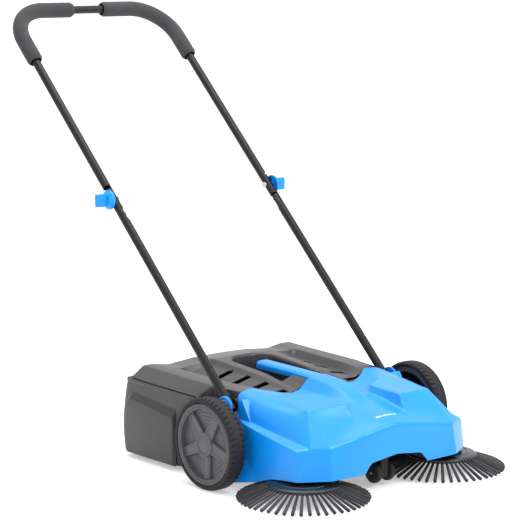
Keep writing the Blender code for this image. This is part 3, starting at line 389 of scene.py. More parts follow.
def creased_cage(name, rails, along, across, extra_faces=(), extra_creases=(), corners=()):
    """Quads between neighbouring rails, with creases along rails and across them."""
    bm = bmesh.new()
    layer = bm.edges.layers.float.new("crease_edge")
    points = bm.verts.layers.float.new("crease_vert")
    grid = [[bm.verts.new(point) for point in rail] for rail in rails]
    for first, second in zip(grid, grid[1:]):
        for k in range(len(first) - 1):
            bm.faces.new((first[k], first[k + 1], second[k + 1], second[k]))
    for face in extra_faces:
        bm.faces.new([bm.verts.new(point) for point in face])
    bmesh.ops.remove_doubles(bm, verts=bm.verts, dist=0.00005)
    bmesh.ops.dissolve_degenerate(bm, edges=bm.edges, dist=0.00005)
    bmesh.ops.recalc_face_normals(bm, faces=bm.faces)
    find = {tuple(round(c, 4) for c in vert.co): vert for vert in bm.verts}

    def mark(one, other, value):
        ends = [find.get(tuple(round(c, 4) for c in Vector(p))) for p in (one, other)]
        if None in ends or ends[0] is ends[1]:
            return
        edge = bm.edges.get(ends)
        if edge:
            edge[layer] = max(edge[layer], value)

    for index, values in along.items():
        rail = rails[index]
        values = values if isinstance(values, (list, tuple)) else [values] * (len(rail) - 1)
        for k, value in enumerate(values):
            mark(rail[k], rail[k + 1], value)
    for row, values in across.items():
        values = values if isinstance(values, (list, tuple)) else [values] * (len(rails) - 1)
        for k, value in enumerate(values):
            mark(rails[k][row], rails[k + 1][row], value)
    for one, other, value in extra_creases:
        mark(one, other, value)
    for corner in corners:
        find[tuple(round(c, 4) for c in Vector(corner))][points] = 1.0
    mesh = bpy.data.meshes.new(name)
    bm.to_mesh(mesh)
    bm.free()
    return mesh


def shell(name, mesh, thickness, levels):
    """A half cage mirrored, given a wall and smoothed."""
    item = as_object(name, mesh)
    mirror = item.modifiers.new("mirror", "MIRROR")
    mirror.use_clip = True
    mirror.merge_threshold = 0.00005
    wall = item.modifiers.new("wall", "SOLIDIFY")
    wall.thickness = thickness
    wall.offset = -1.0
    wall.use_even_offset = True
    wall.thickness_clamp = 1.0
    wall.edge_crease_inner = 1.0
    wall.edge_crease_outer = 1.0
    smooth = item.modifiers.new("smooth", "SUBSURF")
    smooth.levels = levels
    smooth.render_levels = levels
    return settle(item)


LEVELS = 4
# the seam between the cover and the lid in plan, and the one between the lid and the tub
COVER_SEAM = ((0.000, -0.005), (0.025, -0.007), (0.055, -0.006), (0.095, -0.022),
              (0.140, 0.000), (0.170, 0.024), (0.205, 0.014), (0.2205, 0.010), (0.300, 0.010))
LID_SEAM = ((0.450, 0.1883), (0.100, 0.1800), (0.0925, 0.1700), (-0.060, 0.1700))
SEAM_GAP = 0.0008


def seam_block(bm, rearward):
    """Everything behind the seam between cover and lid, or everything in front of it."""
    gap = SEAM_GAP / 2 * (-1 if rearward else 1)
    line = [(x, y + gap) for x, y in COVER_SEAM]
    whole = [(-x, y) for x, y in reversed(line[1:])] + line
    end = 0.200 if rearward else -0.200
    prism_into(bm, whole + [(0.300, end), (-0.300, end)], 0.1600, 0.2600, "Z")


def below_rim(bm):
    """Everything below the seam between lid and tub."""
    line = [(y, z + SEAM_GAP / 2) for y, z in LID_SEAM]
    outline = line + [(LID_SEAM[-1][0], 0.020), (LID_SEAM[0][0], 0.020)]
    prism_into(bm, outline, -0.300, 0.300, "X")


# ---------------------------------------------------------------- cover
def cover_rails():
    """Long lines of the cover from its seam with the lid to its front edge, on the +X half."""
    band_corner = (0.1818, -0.2511, 0.1172)
    band_corner_low = (0.1846, -0.2623, FRONT_LOW)
    body_corner = (0.2181, -0.2307, 0.1177)
    body_corner_low = (0.2205, -0.2410, FRONT_LOW)
    fender_corner = (0.2459, -0.2155, 0.1139)
    fender_corner_low = (0.2503, -0.2214, FRONT_LOW)
    shoulder_corner = Vector((0.1784, -0.1754, 0.1843))

    def on_facet(share):
        top = shoulder_corner.lerp(Vector(body_corner), share)
        foot = Vector(band_corner).lerp(Vector(body_corner), share)
        low = Vector(band_corner_low).lerp(Vector(body_corner_low), share)
        return [tuple(top), tuple(top.lerp(foot, 0.5)), tuple(foot), tuple(low)]

    return [
        [(0, 0.002, 0.2128), (0, -0.036, 0.2100), (0, -0.070, 0.2075), (0, -0.105, 0.2000),
         (0, -0.135, 0.1870), (0, -0.156, 0.1705), (0, -0.229, 0.1614), (0, -0.2634, 0.1466),
         (0, -0.2665, FRONT_LOW)],
        [(0.025, 0.000, 0.2116), (0.025, -0.038, 0.2087), (0.025, -0.070, 0.2062),
         (0.023, -0.105, 0.1988), (0.020, -0.134, 0.1865), (0.015, -0.156, 0.1705),
         (0.020, -0.229, 0.1610), (0.020, -0.2632, 0.1445), (0.020, -0.2664, FRONT_LOW)],
        [(0.055, 0.001, 0.1861), (0.053, -0.038, 0.1843), (0.050, -0.072, 0.1830),
         (0.046, -0.105, 0.1800), (0.042, -0.135, 0.1750), (0.040, -0.160, 0.1695),
         (0.045, -0.222, 0.1595), (0.050, -0.2625, 0.1405), (0.050, -0.2660, FRONT_LOW)],
        [(0.095, -0.015, 0.1846), (0.094, -0.045, 0.1840), (0.092, -0.068, 0.1835),
         (0.064, -0.108, 0.1800), (0.066, -0.145, 0.1735), (0.070, -0.205, 0.1560),
         (0.075, -0.230, 0.1480), (0.080, -0.2610, 0.1358), (0.080, -0.2655, FRONT_LOW)],
        [(0.140, 0.007, 0.1943), (0.1385, -0.035, 0.1958), (0.137, -0.065, 0.1970),
         (0.0735, -0.096, 0.1943), (0.076, -0.140, 0.1912), (0.0788, -0.1903, 0.1885),
         (0.0815, -0.2030, 0.1560), (0.098, -0.2600, 0.1332), (0.098, -0.2650, FRONT_LOW)],
        [(0.170, 0.031, 0.2010), (0.173, -0.020, 0.1975), (0.176, -0.062, 0.1945),
         (0.177, -0.100, 0.1915), (0.178, -0.140, 0.1875), *on_facet(0.0)],
        [(0.205, 0.021, 0.1993), (0.205, -0.025, 0.1940), (0.205, -0.060, 0.1890),
         (0.203, -0.100, 0.1850), (0.198, -0.140, 0.1790), *on_facet(0.15)],
        [(0.2203, 0.017, 0.1900), (0.2220, -0.025, 0.1830), (0.2235, -0.055, 0.1760),
         (0.222, -0.100, 0.1700), (0.2165, -0.140, 0.1630), *on_facet(0.45)],
        [(0.2213, 0.022, 0.1500), (0.2320, -0.036, 0.1510), (0.235, -0.056, 0.1475),
         (0.2315, -0.100, 0.1405), (0.2275, -0.140, 0.1335), *on_facet(1.0)],
        [(0.2220, 0.024, 0.1480), (0.2430, -0.033, 0.1490), (0.250, -0.042, 0.1455),
         (0.2495, -0.100, 0.1345), (0.2485, -0.140, 0.1275), fender_corner, fender_corner,
         fender_corner, fender_corner_low],
        [(0.2220, 0.024, 0.1430), (0.2430, -0.036, 0.1440), (0.2515, -0.043, 0.0850),
         (0.2520, -0.104, 0.0280), (0.2515, -0.137, 0.0435), fender_corner_low,
         fender_corner_low, fender_corner_low, fender_corner_low],
    ]


def build_cover():
    """The blue moulding, with its front arch, pivot bosses, carry handle and guards."""
    rails = cover_rails()
    flare = (0.2720, -0.042, 0.0180)
    fold, low = rails[10][2], rails[10][3]
    along = {1: [0.5, 0.5, 0.48, 0.4, 0.25, 0, 0, 0],
             2: [0.5, 0.5, 0.42, 0.35, 0.15, 0, 0, 0],
             3: [0.25, 0.3, 0.42, 0.4, 0.35, 0.25, 0.1, 0],
             4: [0.55, 0.55, 0.62, 0.64, 0.64, 0.58, 0.45, 0.0],
             5: [0.25, 0.3, 0.35, 0.42, 0.55, 0.62, 0.62, 0.62],
             6: [0.3, 0.3, 0.25, 0.2, 0.15, 0, 0, 0],
             8: [0.62] * 8,
             9: [0.64] * 8}
    across = {2: [0, 0, 0, 0.5, 0, 0, 0, 0, 0, 0],
              3: [0, 0, 0, 0.5, 0, 0, 0, 0, 0, 0],
              5: [0, 0, 0, 0.5, 0.64, 0.62, 0.62, 0.62, 0.62, 0.62],
              7: [0.60] * 9 + [0.0],
              8: [0.6] * 10}
    mesh = creased_cage("cover_shell", rails, along, across,
                        extra_faces=[(fold, low, flare)], extra_creases=[(fold, low, 0.66)],
                        corners=[flare])
    cover = shell("cover_shell", mesh, COVER_WALL, LEVELS)

    cuts = bmesh.new()
    seam_block(cuts, True)
    boolean(cover, cuts)
    cuts = bmesh.new()
    for _, sign in SIDES:
        lathe_into(cuts, [(0, 0.206), (0.0152, 0.206), (0.0152, 0.240), (0, 0.240)], 40,
                   outward(sign, 0, PIVOT.y - AXLE_Y, PIVOT.z))
    arch = [(-0.0936, 0.030), (-0.0936, 0.047), (-0.0905, 0.0535), (-0.0765, 0.0690),
            (-0.0700, 0.0722), (0.0, 0.0808), (0.0700, 0.0722), (0.0765, 0.0690),
            (0.0905, 0.0535), (0.0936, 0.047), (0.0936, 0.030)]
    prism_into(cuts, arch, -0.300, -0.240, "Y")
    boolean(cover, cuts)

    joins = bmesh.new()
    rings = []
    for y, half, low_z, edge, top, top_half in ((-0.022, 0.0235, 0.1975, 0.2065, 0.2108, 0.0170),
                                                (0.060, 0.0190, 0.1980, 0.2090, 0.2138, 0.0130),
                                                (0.184, 0.0180, 0.1985, 0.2108, 0.2158, 0.0122),
                                                (0.186, 0.0175, 0.1990, 0.2100, 0.2146, 0.0116)):
        rings.append([(-half, y, low_z), (half, y, low_z), (half, y, edge), (top_half, y, top),
                      (-top_half, y, top), (-half, y, edge)])
    bar = loft_into(joins, rings)
    round_edges(joins, bar, 0.0012, 2, 20)
    boolean(cover, joins, "UNION")
    joins = bmesh.new()
    guard = [(-0.0560, 0.1450), (-0.0265, 0.1918), (-0.0150, 0.1890), (-0.0130, 0.1495)]
    for _, sign in SIDES:
        inner, outer = 0.2120, 0.2362
        part = loft_into(joins, [[(sign * inner, y, z) for y, z in guard],
                                 [(sign * outer, y, z) for y, z in guard]])
        round_edges(joins, part, 0.0014, 2, 20)
    boolean(cover, joins, "UNION")
    build_badge(skin_height(cover))
    return piece(cover, BLUE, "chassis", ["front_cover"], 28)


# ---------------------------------------------------------------- hopper
def lid_rails():
    """Long lines of the lid from its rear edge to the seam at the cover, on the +X half."""
    seam, rear, low = -0.006, 0.3536, 0.182
    return [
        [(0, rear, low), (0, 0.344, 0.2100), (0, 0.262, 0.2190), (0, 0.252, 0.2190),
         (0, 0.120, 0.2105), (0, 0.098, 0.2100), (0, 0.088, 0.2095), (0, 0.055, 0.2085),
         (0, -0.005 + seam, 0.2085)],
        [(0.030, rear, low), (0.030, 0.344, 0.2097), (0.030, 0.262, 0.2190),
         (0.030, 0.252, 0.2190), (0.030, 0.120, 0.2105), (0.030, 0.098, 0.2100),
         (0.030, 0.088, 0.2095), (0.030, 0.055, 0.2075), (0.030, -0.0065 + seam, 0.2065)],
        [(0.056, rear, low), (0.055, 0.344, 0.2092), (0.060, 0.262, 0.2188),
         (0.060, 0.252, 0.2188), (0.060, 0.120, 0.2085), (0.060, 0.098, 0.2065),
         (0.060, 0.088, 0.2050), (0.056, 0.055, 0.1980), (0.055, -0.006 + seam, 0.1857)],
        [(0.085, rear, low), (0.080, 0.345, 0.2085), (0.086, 0.262, 0.2185),
         (0.086, 0.252, 0.2180), (0.084, 0.120, 0.2075), (0.084, 0.098, 0.2055),
         (0.083, 0.088, 0.2045), (0.082, 0.055, 0.1995), (0.080, -0.016 + seam, 0.1850)],
        [(0.100, rear, low), (0.098, 0.345, 0.2065), (0.100, 0.268, 0.2105),
         (0.100, 0.255, 0.2075), (0.098, 0.120, 0.2005), (0.098, 0.098, 0.1990),
         (0.098, 0.088, 0.1980), (0.097, 0.055, 0.1945), (0.095, -0.022 + seam, 0.1845)],
        [(0.155, rear, low), (0.150, 0.346, 0.2015), (0.158, 0.276, 0.2045),
         (0.160, 0.262, 0.1905), (0.155, 0.120, 0.1865), (0.153, 0.098, 0.1862),
         (0.152, 0.088, 0.1860), (0.148, 0.055, 0.1855), (0.118, -0.011 + seam, 0.1890)],
        [(0.185, rear, low), (0.1935, 0.350, 0.2075), (0.182, 0.276, 0.2062),
         (0.178, 0.262, 0.2058), (0.172, 0.120, 0.2022), (0.171, 0.098, 0.2018),
         (0.170, 0.088, 0.2015), (0.165, 0.055, 0.2008), (0.140, seam, 0.1945)],
        [(0.205, rear, low), (0.207, 0.350, 0.2078), (0.205, 0.276, 0.2062),
         (0.205, 0.262, 0.2059), (0.203, 0.120, 0.2025), (0.202, 0.098, 0.2020),
         (0.201, 0.088, 0.2018), (0.196, 0.055, 0.2012), (0.170, 0.024 + seam, 0.2005)],
        [(0.228, rear, low), (0.2215, 0.3485, 0.2074), (0.2205, 0.276, 0.2050),
         (0.2205, 0.262, 0.2047), (0.2200, 0.120, 0.2013), (0.2190, 0.098, 0.2005),
         (0.2170, 0.088, 0.2000), (0.2145, 0.055, 0.1990), (0.205, 0.014 + seam, 0.1985)],
        [(0.252, 0.3530, low), (0.268, 0.3380, 0.1826), (0.2705, 0.276, 0.1810),
         (0.2705, 0.262, 0.1808), (0.2705, 0.120, 0.1770), (0.2685, 0.098, 0.1768),
         (0.2213, 0.088, 0.1650), (0.2213, 0.055, 0.1650), (0.2210, 0.010 + seam, 0.1650)],
    ]


WELL_SIDE = (0.046, 0.052, 0.060, 0.070, 0.080, 0.090, 0.100, 0.120, 0.150, 0.180)
WELL_WALL = 0.0028
WELL_FLOOR = 0.160
SKIN = 0.0013                  # the well's walls meet the lid this far under its skin
SILL_HALF = 0.0595
CHANNEL_WIDTH = 0.0514         # room for the carry handle between well and cover
SLOT_SIZE = (0.048, 0.018, 0.040)
SLOT_REAR, SLOT_PITCH = 0.178, 0.060
BOSS_NOTCH = 0.0154


def well_ring(offset, forward=0.0):
    """Outline of the hand well in plan: straight front, round rear corners."""
    half, rear, corner = 0.0575 + offset, 0.250 + offset, 0.040 + offset
    right = [(half, y - (forward if y == WELL_SIDE[0] else 0)) for y in WELL_SIDE]
    right += arc((half - corner, rear - corner), corner, 0, 90, 10)
    return right + [(-x, y) for x, y in reversed(right)]


def well_stack(height, layers, floor, forward=0.0):
    """Outlines above each other; each layer is (offset, depth under the lid's skin)."""
    rings = [[(x, y, floor) for x, y in well_ring(layers[0][0], forward)]]
    for offset, depth in layers:
        rings.append([(x, y, height(x, y) - depth) for x, y in well_ring(offset, forward)])
    return rings


def build_lid():
    """The lid, with its hand well, handle channel, boss notches and slots."""
    rails = lid_rails()
    along = {2: [0.2, 0.3, 0.3, 0.3, 0.3, 0.3, 0.3, 0.3],
             3: [0.3, 0.5, 0.64, 0.64, 0.64, 0.64, 0.64, 0.6],
             4: [0.3, 0.5, 0.64, 0.64, 0.64, 0.64, 0.64, 0.6],
             5: [0.2, 0.45, 0.66, 0.66, 0.66, 0.66, 0.66, 0.6],
             6: [0.3, 0.5, 0.62, 0.62, 0.62, 0.62, 0.62, 0.5],
             7: [0.1, 0.15, 0.15, 0.15, 0.15, 0.15, 0.15, 0.15],
             8: [0.4, 0.55, 0.55, 0.55, 0.55, 0.55, 0.55, 0.55]}
    across = {1: 0.58, 2: [0, 0, 0, 0.55, 0.6, 0.6, 0, 0, 0],
              3: [0, 0, 0, 0.55, 0.64, 0.64, 0, 0, 0], 5: [0] * 8 + [0.5], 6: [0] * 8 + [0.5]}
    mesh = creased_cage("hopper_lid_shell", rails, along, across)
    lid = shell("hopper_lid_shell", mesh, HOPPER_WALL, LEVELS)
    height = skin_height(lid)
    cuts = bmesh.new()
    below_rim(cuts)
    boolean(lid, cuts)
    cuts = bmesh.new()
    seam_block(cuts, False)
    boolean(lid, cuts)

    joins = bmesh.new()
    loft_into(joins, well_stack(height, ((WELL_WALL, SKIN),), WELL_FLOOR - WELL_WALL, WELL_WALL),
              mirrored_cap=True)
    boolean(lid, joins, "UNION")
    joins = bmesh.new()
    across_x = [SILL_HALF * (k / 8 - 1) for k in range(17)]
    sill_y = WELL_SIDE[0] - WELL_WALL / 2
    sill = [(x, height(x, sill_y) - SKIN) for x in across_x]
    prism_into(joins, [(-SILL_HALF, 0.170), (SILL_HALF, 0.170)] + sill[::-1],
               sill_y - 0.0020, sill_y + 0.0020, "Y")
    boolean(lid, joins, "UNION")
    joins = bmesh.new()
    box_into(joins, (CHANNEL_WIDTH + 2 * WELL_WALL, 0.060, 0.018), (0, 0.0276, 0.1915))
    boolean(lid, joins, "UNION")
    cuts = bmesh.new()
    layers = ((0, 0.0060), (0.0012, 0.0028), (0.0032, 0.0010), (0.0056, -0.0004))
    rings = well_stack(height, layers, WELL_FLOOR)
    rings.append([(x, y, 0.240) for x, y in well_ring(layers[-1][0])])
    loft_into(cuts, rings)
    boolean(lid, cuts)
    cuts = bmesh.new()
    box_into(cuts, (CHANNEL_WIDTH, 0.080, 0.040), (0, 0.0200, 0.2095))
    for _, sign in SIDES:
        notch = [(-0.030, PIVOT.z - BOSS_NOTCH), (-0.030, PIVOT.z + BOSS_NOTCH),
                 *arc((PIVOT.y - AXLE_Y, PIVOT.z), BOSS_NOTCH, 90, -90, 16)]
        low, high = sorted((sign * 0.2000, sign * 0.2300))
        prism_into(cuts, notch, low, high, "X")
        for number in range(4):
            y = SLOT_REAR - SLOT_PITCH * number
            box_into(cuts, SLOT_SIZE, (sign * (0.122 - 0.003 * number), y, 0.198))
    boolean(lid, cuts)
    cuts = bmesh.new()
    for _, sign in SIDES:
        for number in range(3):
            y = SLOT_REAR - SLOT_PITCH * number
            box_into(cuts, (0.0060, 0.005, 0.016), (sign * 0.0965, y, 0.2060))
    boolean(lid, cuts)
    build_latch(height)
    return piece(lid, GREY, "hopper", ["hopper_lid"], 28)


def tub_rails():
    """Level lines of the tub, floor to rim; each runs from the rear middle to the front."""
    floor, front_y, front_top = 0.008, 0.083, 0.085
    seam = -SEAM_GAP / 2

    def level(wide, rear, height, step_y, share):
        lip = floor + (front_top - floor) * share
        return [(0, rear, height), (wide - 0.018, rear, height), (wide, rear - 0.0040, height),
                (wide, step_y, height), (0.2200, step_y - 0.006, height),
                (0.2200, front_y + 0.012, height), (0.2190, front_y, height),
                (0.205, front_y, lip), (0, front_y, lip)]

    def band(wide, rear, rear_z, front_z, inner_z):
        return [(0, rear, rear_z), (wide - 0.018, rear, rear_z),
                (min(wide, 0.2655), rear - 0.0045, rear_z),
                (wide, 0.102, front_z), (0.2200, 0.0955, inner_z + 0.0003),
                (0.2200, 0.0925, inner_z), (0.2190, front_y, inner_z),
                (0.205, front_y, front_top), (0, front_y, front_top)]

    base = level(0.2640, 0.3660, floor, 0.166, 0)
    middle = [(0, y, floor) for x, y, z in base]
    return [middle, base, level(0.2665, 0.3740, 0.076, 0.166, 0.80),
            level(0.2650, 0.3620, 0.152, 0.150, 0.95),
            band(0.2650, 0.3560, 0.1765, 0.1705, 0.1600),
            band(0.2700, 0.3560, 0.1792, 0.1732, 0.1640),
            band(0.2703, 0.3558, 0.1836, 0.1776, 0.1670),
            band(0.2672, 0.3545, 0.1860 + seam, 0.1800 + seam, 0.1700 + seam)]


def panel_outline(rear, rear_top, front, front_top, low, corner):
    """Side view of the raised panel: bowed rear edge, rounded upper rear corner."""
    return [(front, low), (rear - 0.0065, low), (rear, 0.076),
            *arc((rear - 0.008 - corner, rear_top - corner), corner, 0, 84, 8), (front, front_top)]


def build_tub():
    """The tub, with a raised panel on each side and two skids."""
    along = {1: 0.62, 4: 0.62, 5: 0.62, 6: 0.6}
    across = {1: 0.3, 2: 0.6, 3: 0.5, 4: 0.5, 5: 0.2, 6: 0.5, 7: 0.6}
    mesh = creased_cage("hopper_tub_shell", tub_rails(), along, across)
    tub = shell("hopper_tub_shell", mesh, HOPPER_WALL, LEVELS)
    joins = bmesh.new()
    for _, sign in SIDES:
        base = panel_outline(0.3560, 0.1560, 0.1680, 0.1420, 0.0095, 0.024)
        face = panel_outline(0.3515, 0.1400, 0.1730, 0.1215, 0.0125, 0.017)
        panel = loft_into(joins, [[(sign * 0.2642, y, z) for y, z in base],
                                  [(sign * 0.2734, y, z) for y, z in face]])
        round_edges(joins, panel, 0.0020, 3, 20)
    boolean(tub, joins, "UNION")
    joins = bmesh.new()
    for _, sign in SIDES:
        skid = box_into(joins, (0.012, 0.050, 0.0095), (sign * 0.120, 0.300, 0.00475))
        round_edges(joins, skid, 0.0008, 2)
    boolean(tub, joins, "UNION")
    return piece(tub, GREY, "hopper", ["hopper_tub"], 28)


# ---------------------------------------------------------------- wheels
SPOKE_ANGLES = [math.radians(31 + 72 * k) for k in range(5)]
WEB = -0.0125


def build_rim(side, sign):
    """Ridged dish with five raised spokes, and ribs behind it; the back of the web and the ribs are
    black as painted shade.
    """
    bm = bmesh.new()
    edge = SEAT - GAP
    face = [(edge, -0.0360), (edge, -0.0034), (0.0882, -0.0010), (0.0866, -0.0004),
            (0.0855, -0.0014), (0.0849, -0.0014), (0.0842, -0.0004), (0.0820, -0.0004),
            (0.0813, -0.0018), (0.0806, -0.0018), (0.0798, -0.0006), (0.0778, -0.0008),
            (0.0768, -0.0018), (0.0752, -0.0100), (0.0742, WEB)]
    for ring in (0.0680, 0.0600, 0.0520, 0.0440, 0.0360):
        face += [(ring + 0.0012, WEB), (ring + 0.0008, WEB + 0.0010),
                 (ring - 0.0008, WEB + 0.0010), (ring - 0.0012, WEB)]
    face += [(0.0290, WEB), (0.0270, -0.0060), (0.0262, -0.0052), (0.0256, -0.0052),
             (0.0256, -0.0100), (0.0062, -0.0100)]
    back = [(0.0062, -0.0300), (0.0160, -0.0300), (0.0160, WEB - 0.0045), (0.0775, WEB - 0.0045),
            (0.0775, -0.0360)]
    lathe_into(bm, face + back, 96)
    # the faces behind the web take the black material: painted shade on the wheel's inner side
    for ring_face in bm.faces:
        middle = ring_face.calc_center_median()
        if middle.z < WEB - 0.002 and middle.xy.length < 0.0780:
            ring_face.material_index = 1
    for angle in SPOKE_ANGLES:
        turn = angle if sign < 0 else -angle
        matrix = Matrix.Rotation(math.pi + turn if sign > 0 else -turn, 4, "Z")
        rings = []
        low = WEB - 0.0005
        for reach, half, top, sink in ((0.0225, 0.0152, -0.0042, 0), (0.0290, 0.0148, -0.0042, 0),
                                       (0.0298, 0.0147, -0.0042, 1), (0.0672, 0.0118, -0.0050, 1),
                                       (0.0680, 0.0117, -0.0050, 0), (0.0756, 0.0112, -0.0064, 0)):
            sunk = top - 0.0014 * sink
            rings.append([(reach, -half, low), (reach, -half * 0.96, top - 0.0022),
                          (reach, -half * 0.80, top), (reach, -half * 0.58, top),
                          (reach, -half * 0.50, sunk), (reach, half * 0.46, sunk),
                          (reach, half * 0.54, top), (reach, half * 0.76, top),
                          (reach, half * 0.98, top - 0.0034), (reach, half * 1.04, low)])
        loft_into(bm, rings, matrix)
    for number in range(10):
        turn = Matrix.Rotation(2 * math.pi * number / 10, 4, "Z")
        rib = box_into(bm, (0.0630, 0.0024, 0.0160), (0.0465, 0, WEB - 0.0115), turn)
        # the ribs take the black material too: painted shade behind the web
        for rib_face in {face for vert in rib for face in vert.link_faces}:
            rib_face.material_index = 1
    matrix = outward(sign, sign * WHEEL_OUTER_X, 0, WHEEL_RADIUS)
    rim = solid(bm, "wheel_rim_" + side, matrix)
    return piece(rim, DARK, "wheel_" + side, ["rim_" + side], 30, extra=[BLACK_PLASTIC_AND_SHADE])


def build_hub(side, sign):
    """The dished cap in the middle of the wheel."""
    bm = bmesh.new()
    profile = [(0, -0.0026), (0.0060, -0.0027), (0.0120, -0.0031), (0.0160, -0.0038),
               (0.0178, -0.0042), (0.0190, -0.0030), (0.0205, -0.0018), (0.0222, -0.0014),
               (0.0236, -0.0020), (0.0246, -0.0034), (0.0250, -0.0050), (0.0250, -0.0094),
               (0, -0.0094)]
    lathe_into(bm, [(radius * 1.09, along) for radius, along in profile], 72, closed=False)
    matrix = outward(sign, sign * WHEEL_OUTER_X, 0, WHEEL_RADIUS)
    hub = solid(bm, "hub_disc_" + side, matrix)
    return piece(hub, DARK, "wheel_" + side, ["hub_cap_" + side], 40)


def build_tyre(side, sign):
    """Tread with a row of short slots along each shoulder."""
    pitches = 50
    columns = ((0.00, 0), (0.38, 0), (0.42, 1), (0.58, 1), (0.62, 0), (0.80, 0))
    outer = [(SEAT, -0.0060, 0, 0), (SEAT, -0.0034, 0, 0), (0.0905, -0.0006, 0, 0),
             (0.0925, 0.0, 0, 0.0), (0.0948, -0.0002, 0.0, 0.0), (0.0966, -0.0008, 0.0, 0.05),
             (0.0975, -0.0014, 0.0016, 0.10), (0.0992, -0.0036, 0.0026, 0.18),
             (0.1006, -0.0080, 0.0026, 0.30), (0.1010, -0.0112, 0.0022, 0.36),
             (0.1010, -0.0126, 0.0, 0.38), (0.1010, -0.0160, 0.0, 0.38)]
    width = 0.0390
    rows = outer + [(r, -width - a, cut, skew) for r, a, cut, skew in reversed(outer)]
    half_count = len(outer)
    bm = bmesh.new()
    grid = []
    for index, (radius, along, cut, skew) in enumerate(rows):
        ring = []
        shift = 0.5 if index >= half_count else 0.0
        for pitch in range(pitches):
            for share, deep in columns:
                angle = 2 * math.pi * (pitch + share + skew + shift) / pitches
                reach = radius - cut * deep
                ring.append(bm.verts.new((reach * math.cos(angle), reach * math.sin(angle), along)))
        grid.append(ring)
    for index in range(len(grid)):
        bridge(bm, grid[index], grid[(index + 1) % len(grid)])
    matrix = outward(sign, sign * WHEEL_OUTER_X, 0, WHEEL_RADIUS)
    tyre = solid(bm, "tyre_tread_" + side, matrix)
    return piece(tyre, RUBBER, "wheel_" + side, ["tyre_" + side], 38)


# ---------------------------------------------------------------- brushes
PLATE_Z = 0.034                # upper side of the brush plate's hub
TUFTS = 50
GOLDEN_ANGLE = 2.39996         # spreads the strands of a tuft evenly over its section


def filament_into(bm, layer, stations, sides):
    """One bristle; each station is (point, radius, tone)."""
    along = (Vector(stations[-1][0]) - Vector(stations[0][0])).normalized()
    side = along.orthogonal().normalized()
    other = along.cross(side)
    spin = random.random() * 2 * math.pi
    rings = []
    for point, radius, tone in stations:
        ring = []
        for k in range(sides):
            angle = spin + 2 * math.pi * k / sides
            place = point + (side * math.cos(angle) + other * math.sin(angle)) * radius
            place.z = max(place.z, 0.0003)
            vert = bm.verts.new(place)
            vert[layer] = tone
            ring.append(vert)
        rings.append(ring)
    for first, second in zip(rings, rings[1:]):
        bridge(bm, first, second)
    bm.faces.new(rings[-1])
    bm.faces.new(list(reversed(rings[0])))


def build_brush_plate(side, centre):
    """Ridged disc with its stem, ribs and the sockets that hold the tufts."""
    bm = bmesh.new()
    profile = [(0, 0.0135), (0.0066, 0.0140), (0.0120, 0.0138), (0.0300, 0.0126),
               (0.0340, 0.0118), (0.0352, 0.0100), (0.0400, 0.0094), (0.0560, 0.0074),
               (0.0575, 0.0084), (0.0605, 0.0082), (0.0620, 0.0068), (0.0740, 0.0052),
               (0.0772, 0.0040), (0.0788, 0.0022), (0.0790, 0.0004), (0.0782, -0.0016),
               (0.0740, -0.0050), (0.0680, -0.0056), (0.0340, -0.0040), (0.0300, 0), (0, 0)]
    lathe_into(bm, [(radius, PLATE_Z + rise) for radius, rise in profile], 100, closed=False)
    stem = [(0, PLATE_Z + 0.010), (0.0066, PLATE_Z + 0.010), (0.0066, 0.0780),
            (0.0040, 0.0784), (0.0040, 0.0860), (0, 0.0860)]
    lathe_into(bm, stem, 32, closed=False)
    for number in range(8):
        turn = Matrix.Rotation(2 * math.pi * number / 8, 4, "Z")
        box_into(bm, (0.0270, 0.0022, 0.0050), (0.0205, 0, PLATE_Z + 0.0140), turn)
    socket = [(0, -0.004), (0.0034, -0.004), (0.0034, 0.005), (0.0026, 0.0058), (0, 0.0058)]
    tilt = Matrix.Translation((0.0745, 0, PLATE_Z - 0.0020)) @ Matrix.Rotation(
        math.radians(90 + 19), 4, "Y")
    for number in range(TUFTS):
        turn = Matrix.Rotation(2 * math.pi * (number + 0.5) / TUFTS, 4, "Z")
        lathe_into(bm, socket, 12, turn @ tilt, closed=False)
    plate = solid(bm, "brush_disc_" + side, centre)
    piece(plate, GLOSS, "side_brush_" + side, ["side_brush_plate_" + side], 35)


def build_side_brush(side, sign):
    """The plate and its ring of tufts, each of straight strands with blunt ends."""
    centre = Matrix.Translation((sign * BRUSH_X, BRUSH_Y - AXLE_Y, 0))
    build_brush_plate(side, centre)
    bm = bmesh.new()
    layer = bm.verts.layers.float.new("tone")
    strands = 24
    base = Vector((0.0760, 0, PLATE_Z - 0.0030))
    tip = Vector((BRUSH_RADIUS - 0.0022, 0, 0.0066))
    line = (tip - base).normalized()
    across = Vector((0, 1, 0))
    up = line.cross(across).normalized()
    for number in range(TUFTS):
        angle = 2 * math.pi * (number + 0.5) / TUFTS
        turn = Matrix.Rotation(angle + random.uniform(-0.004, 0.004), 4, "Z")
        drop = Vector((0, 0, random.uniform(-0.0005, 0.0005)))
        for strand in range(strands):
            reach = math.sqrt((strand + 0.5) / strands)
            turn_by = strand * GOLDEN_ANGLE
            a, b = reach * math.cos(turn_by), reach * math.sin(turn_by)
            aside = across * a + up * b
            start = base + aside * 0.0024
            end = tip + drop + aside * 0.0035 + line * random.uniform(-0.0006, 0.0004)
            end.y += random.uniform(-0.0002, 0.0002)
            tone = random.uniform(0.75, 1.35)
            # the strand's random tone is its own colour; the factors along it are painted shade
            # toward the root under the plate and painted light toward the outer end, and the cut
            # end is darker
            filament_into(bm, layer,
                          [(turn @ start, 0.00072, 0.35 * tone),
                           (turn @ start.lerp(end, 0.16), 0.00074, 0.9 * tone),
                           (turn @ start.lerp(end, 0.97), 0.00080, 1.3 * tone),
                           (turn @ end, 0.00076, 0.45 * tone)], 6)
    tuft = solid(bm, "brush_tufts_" + side, centre)
    piece(tuft, BRISTLE, "side_brush_" + side, ["side_bristles_" + side], 50)


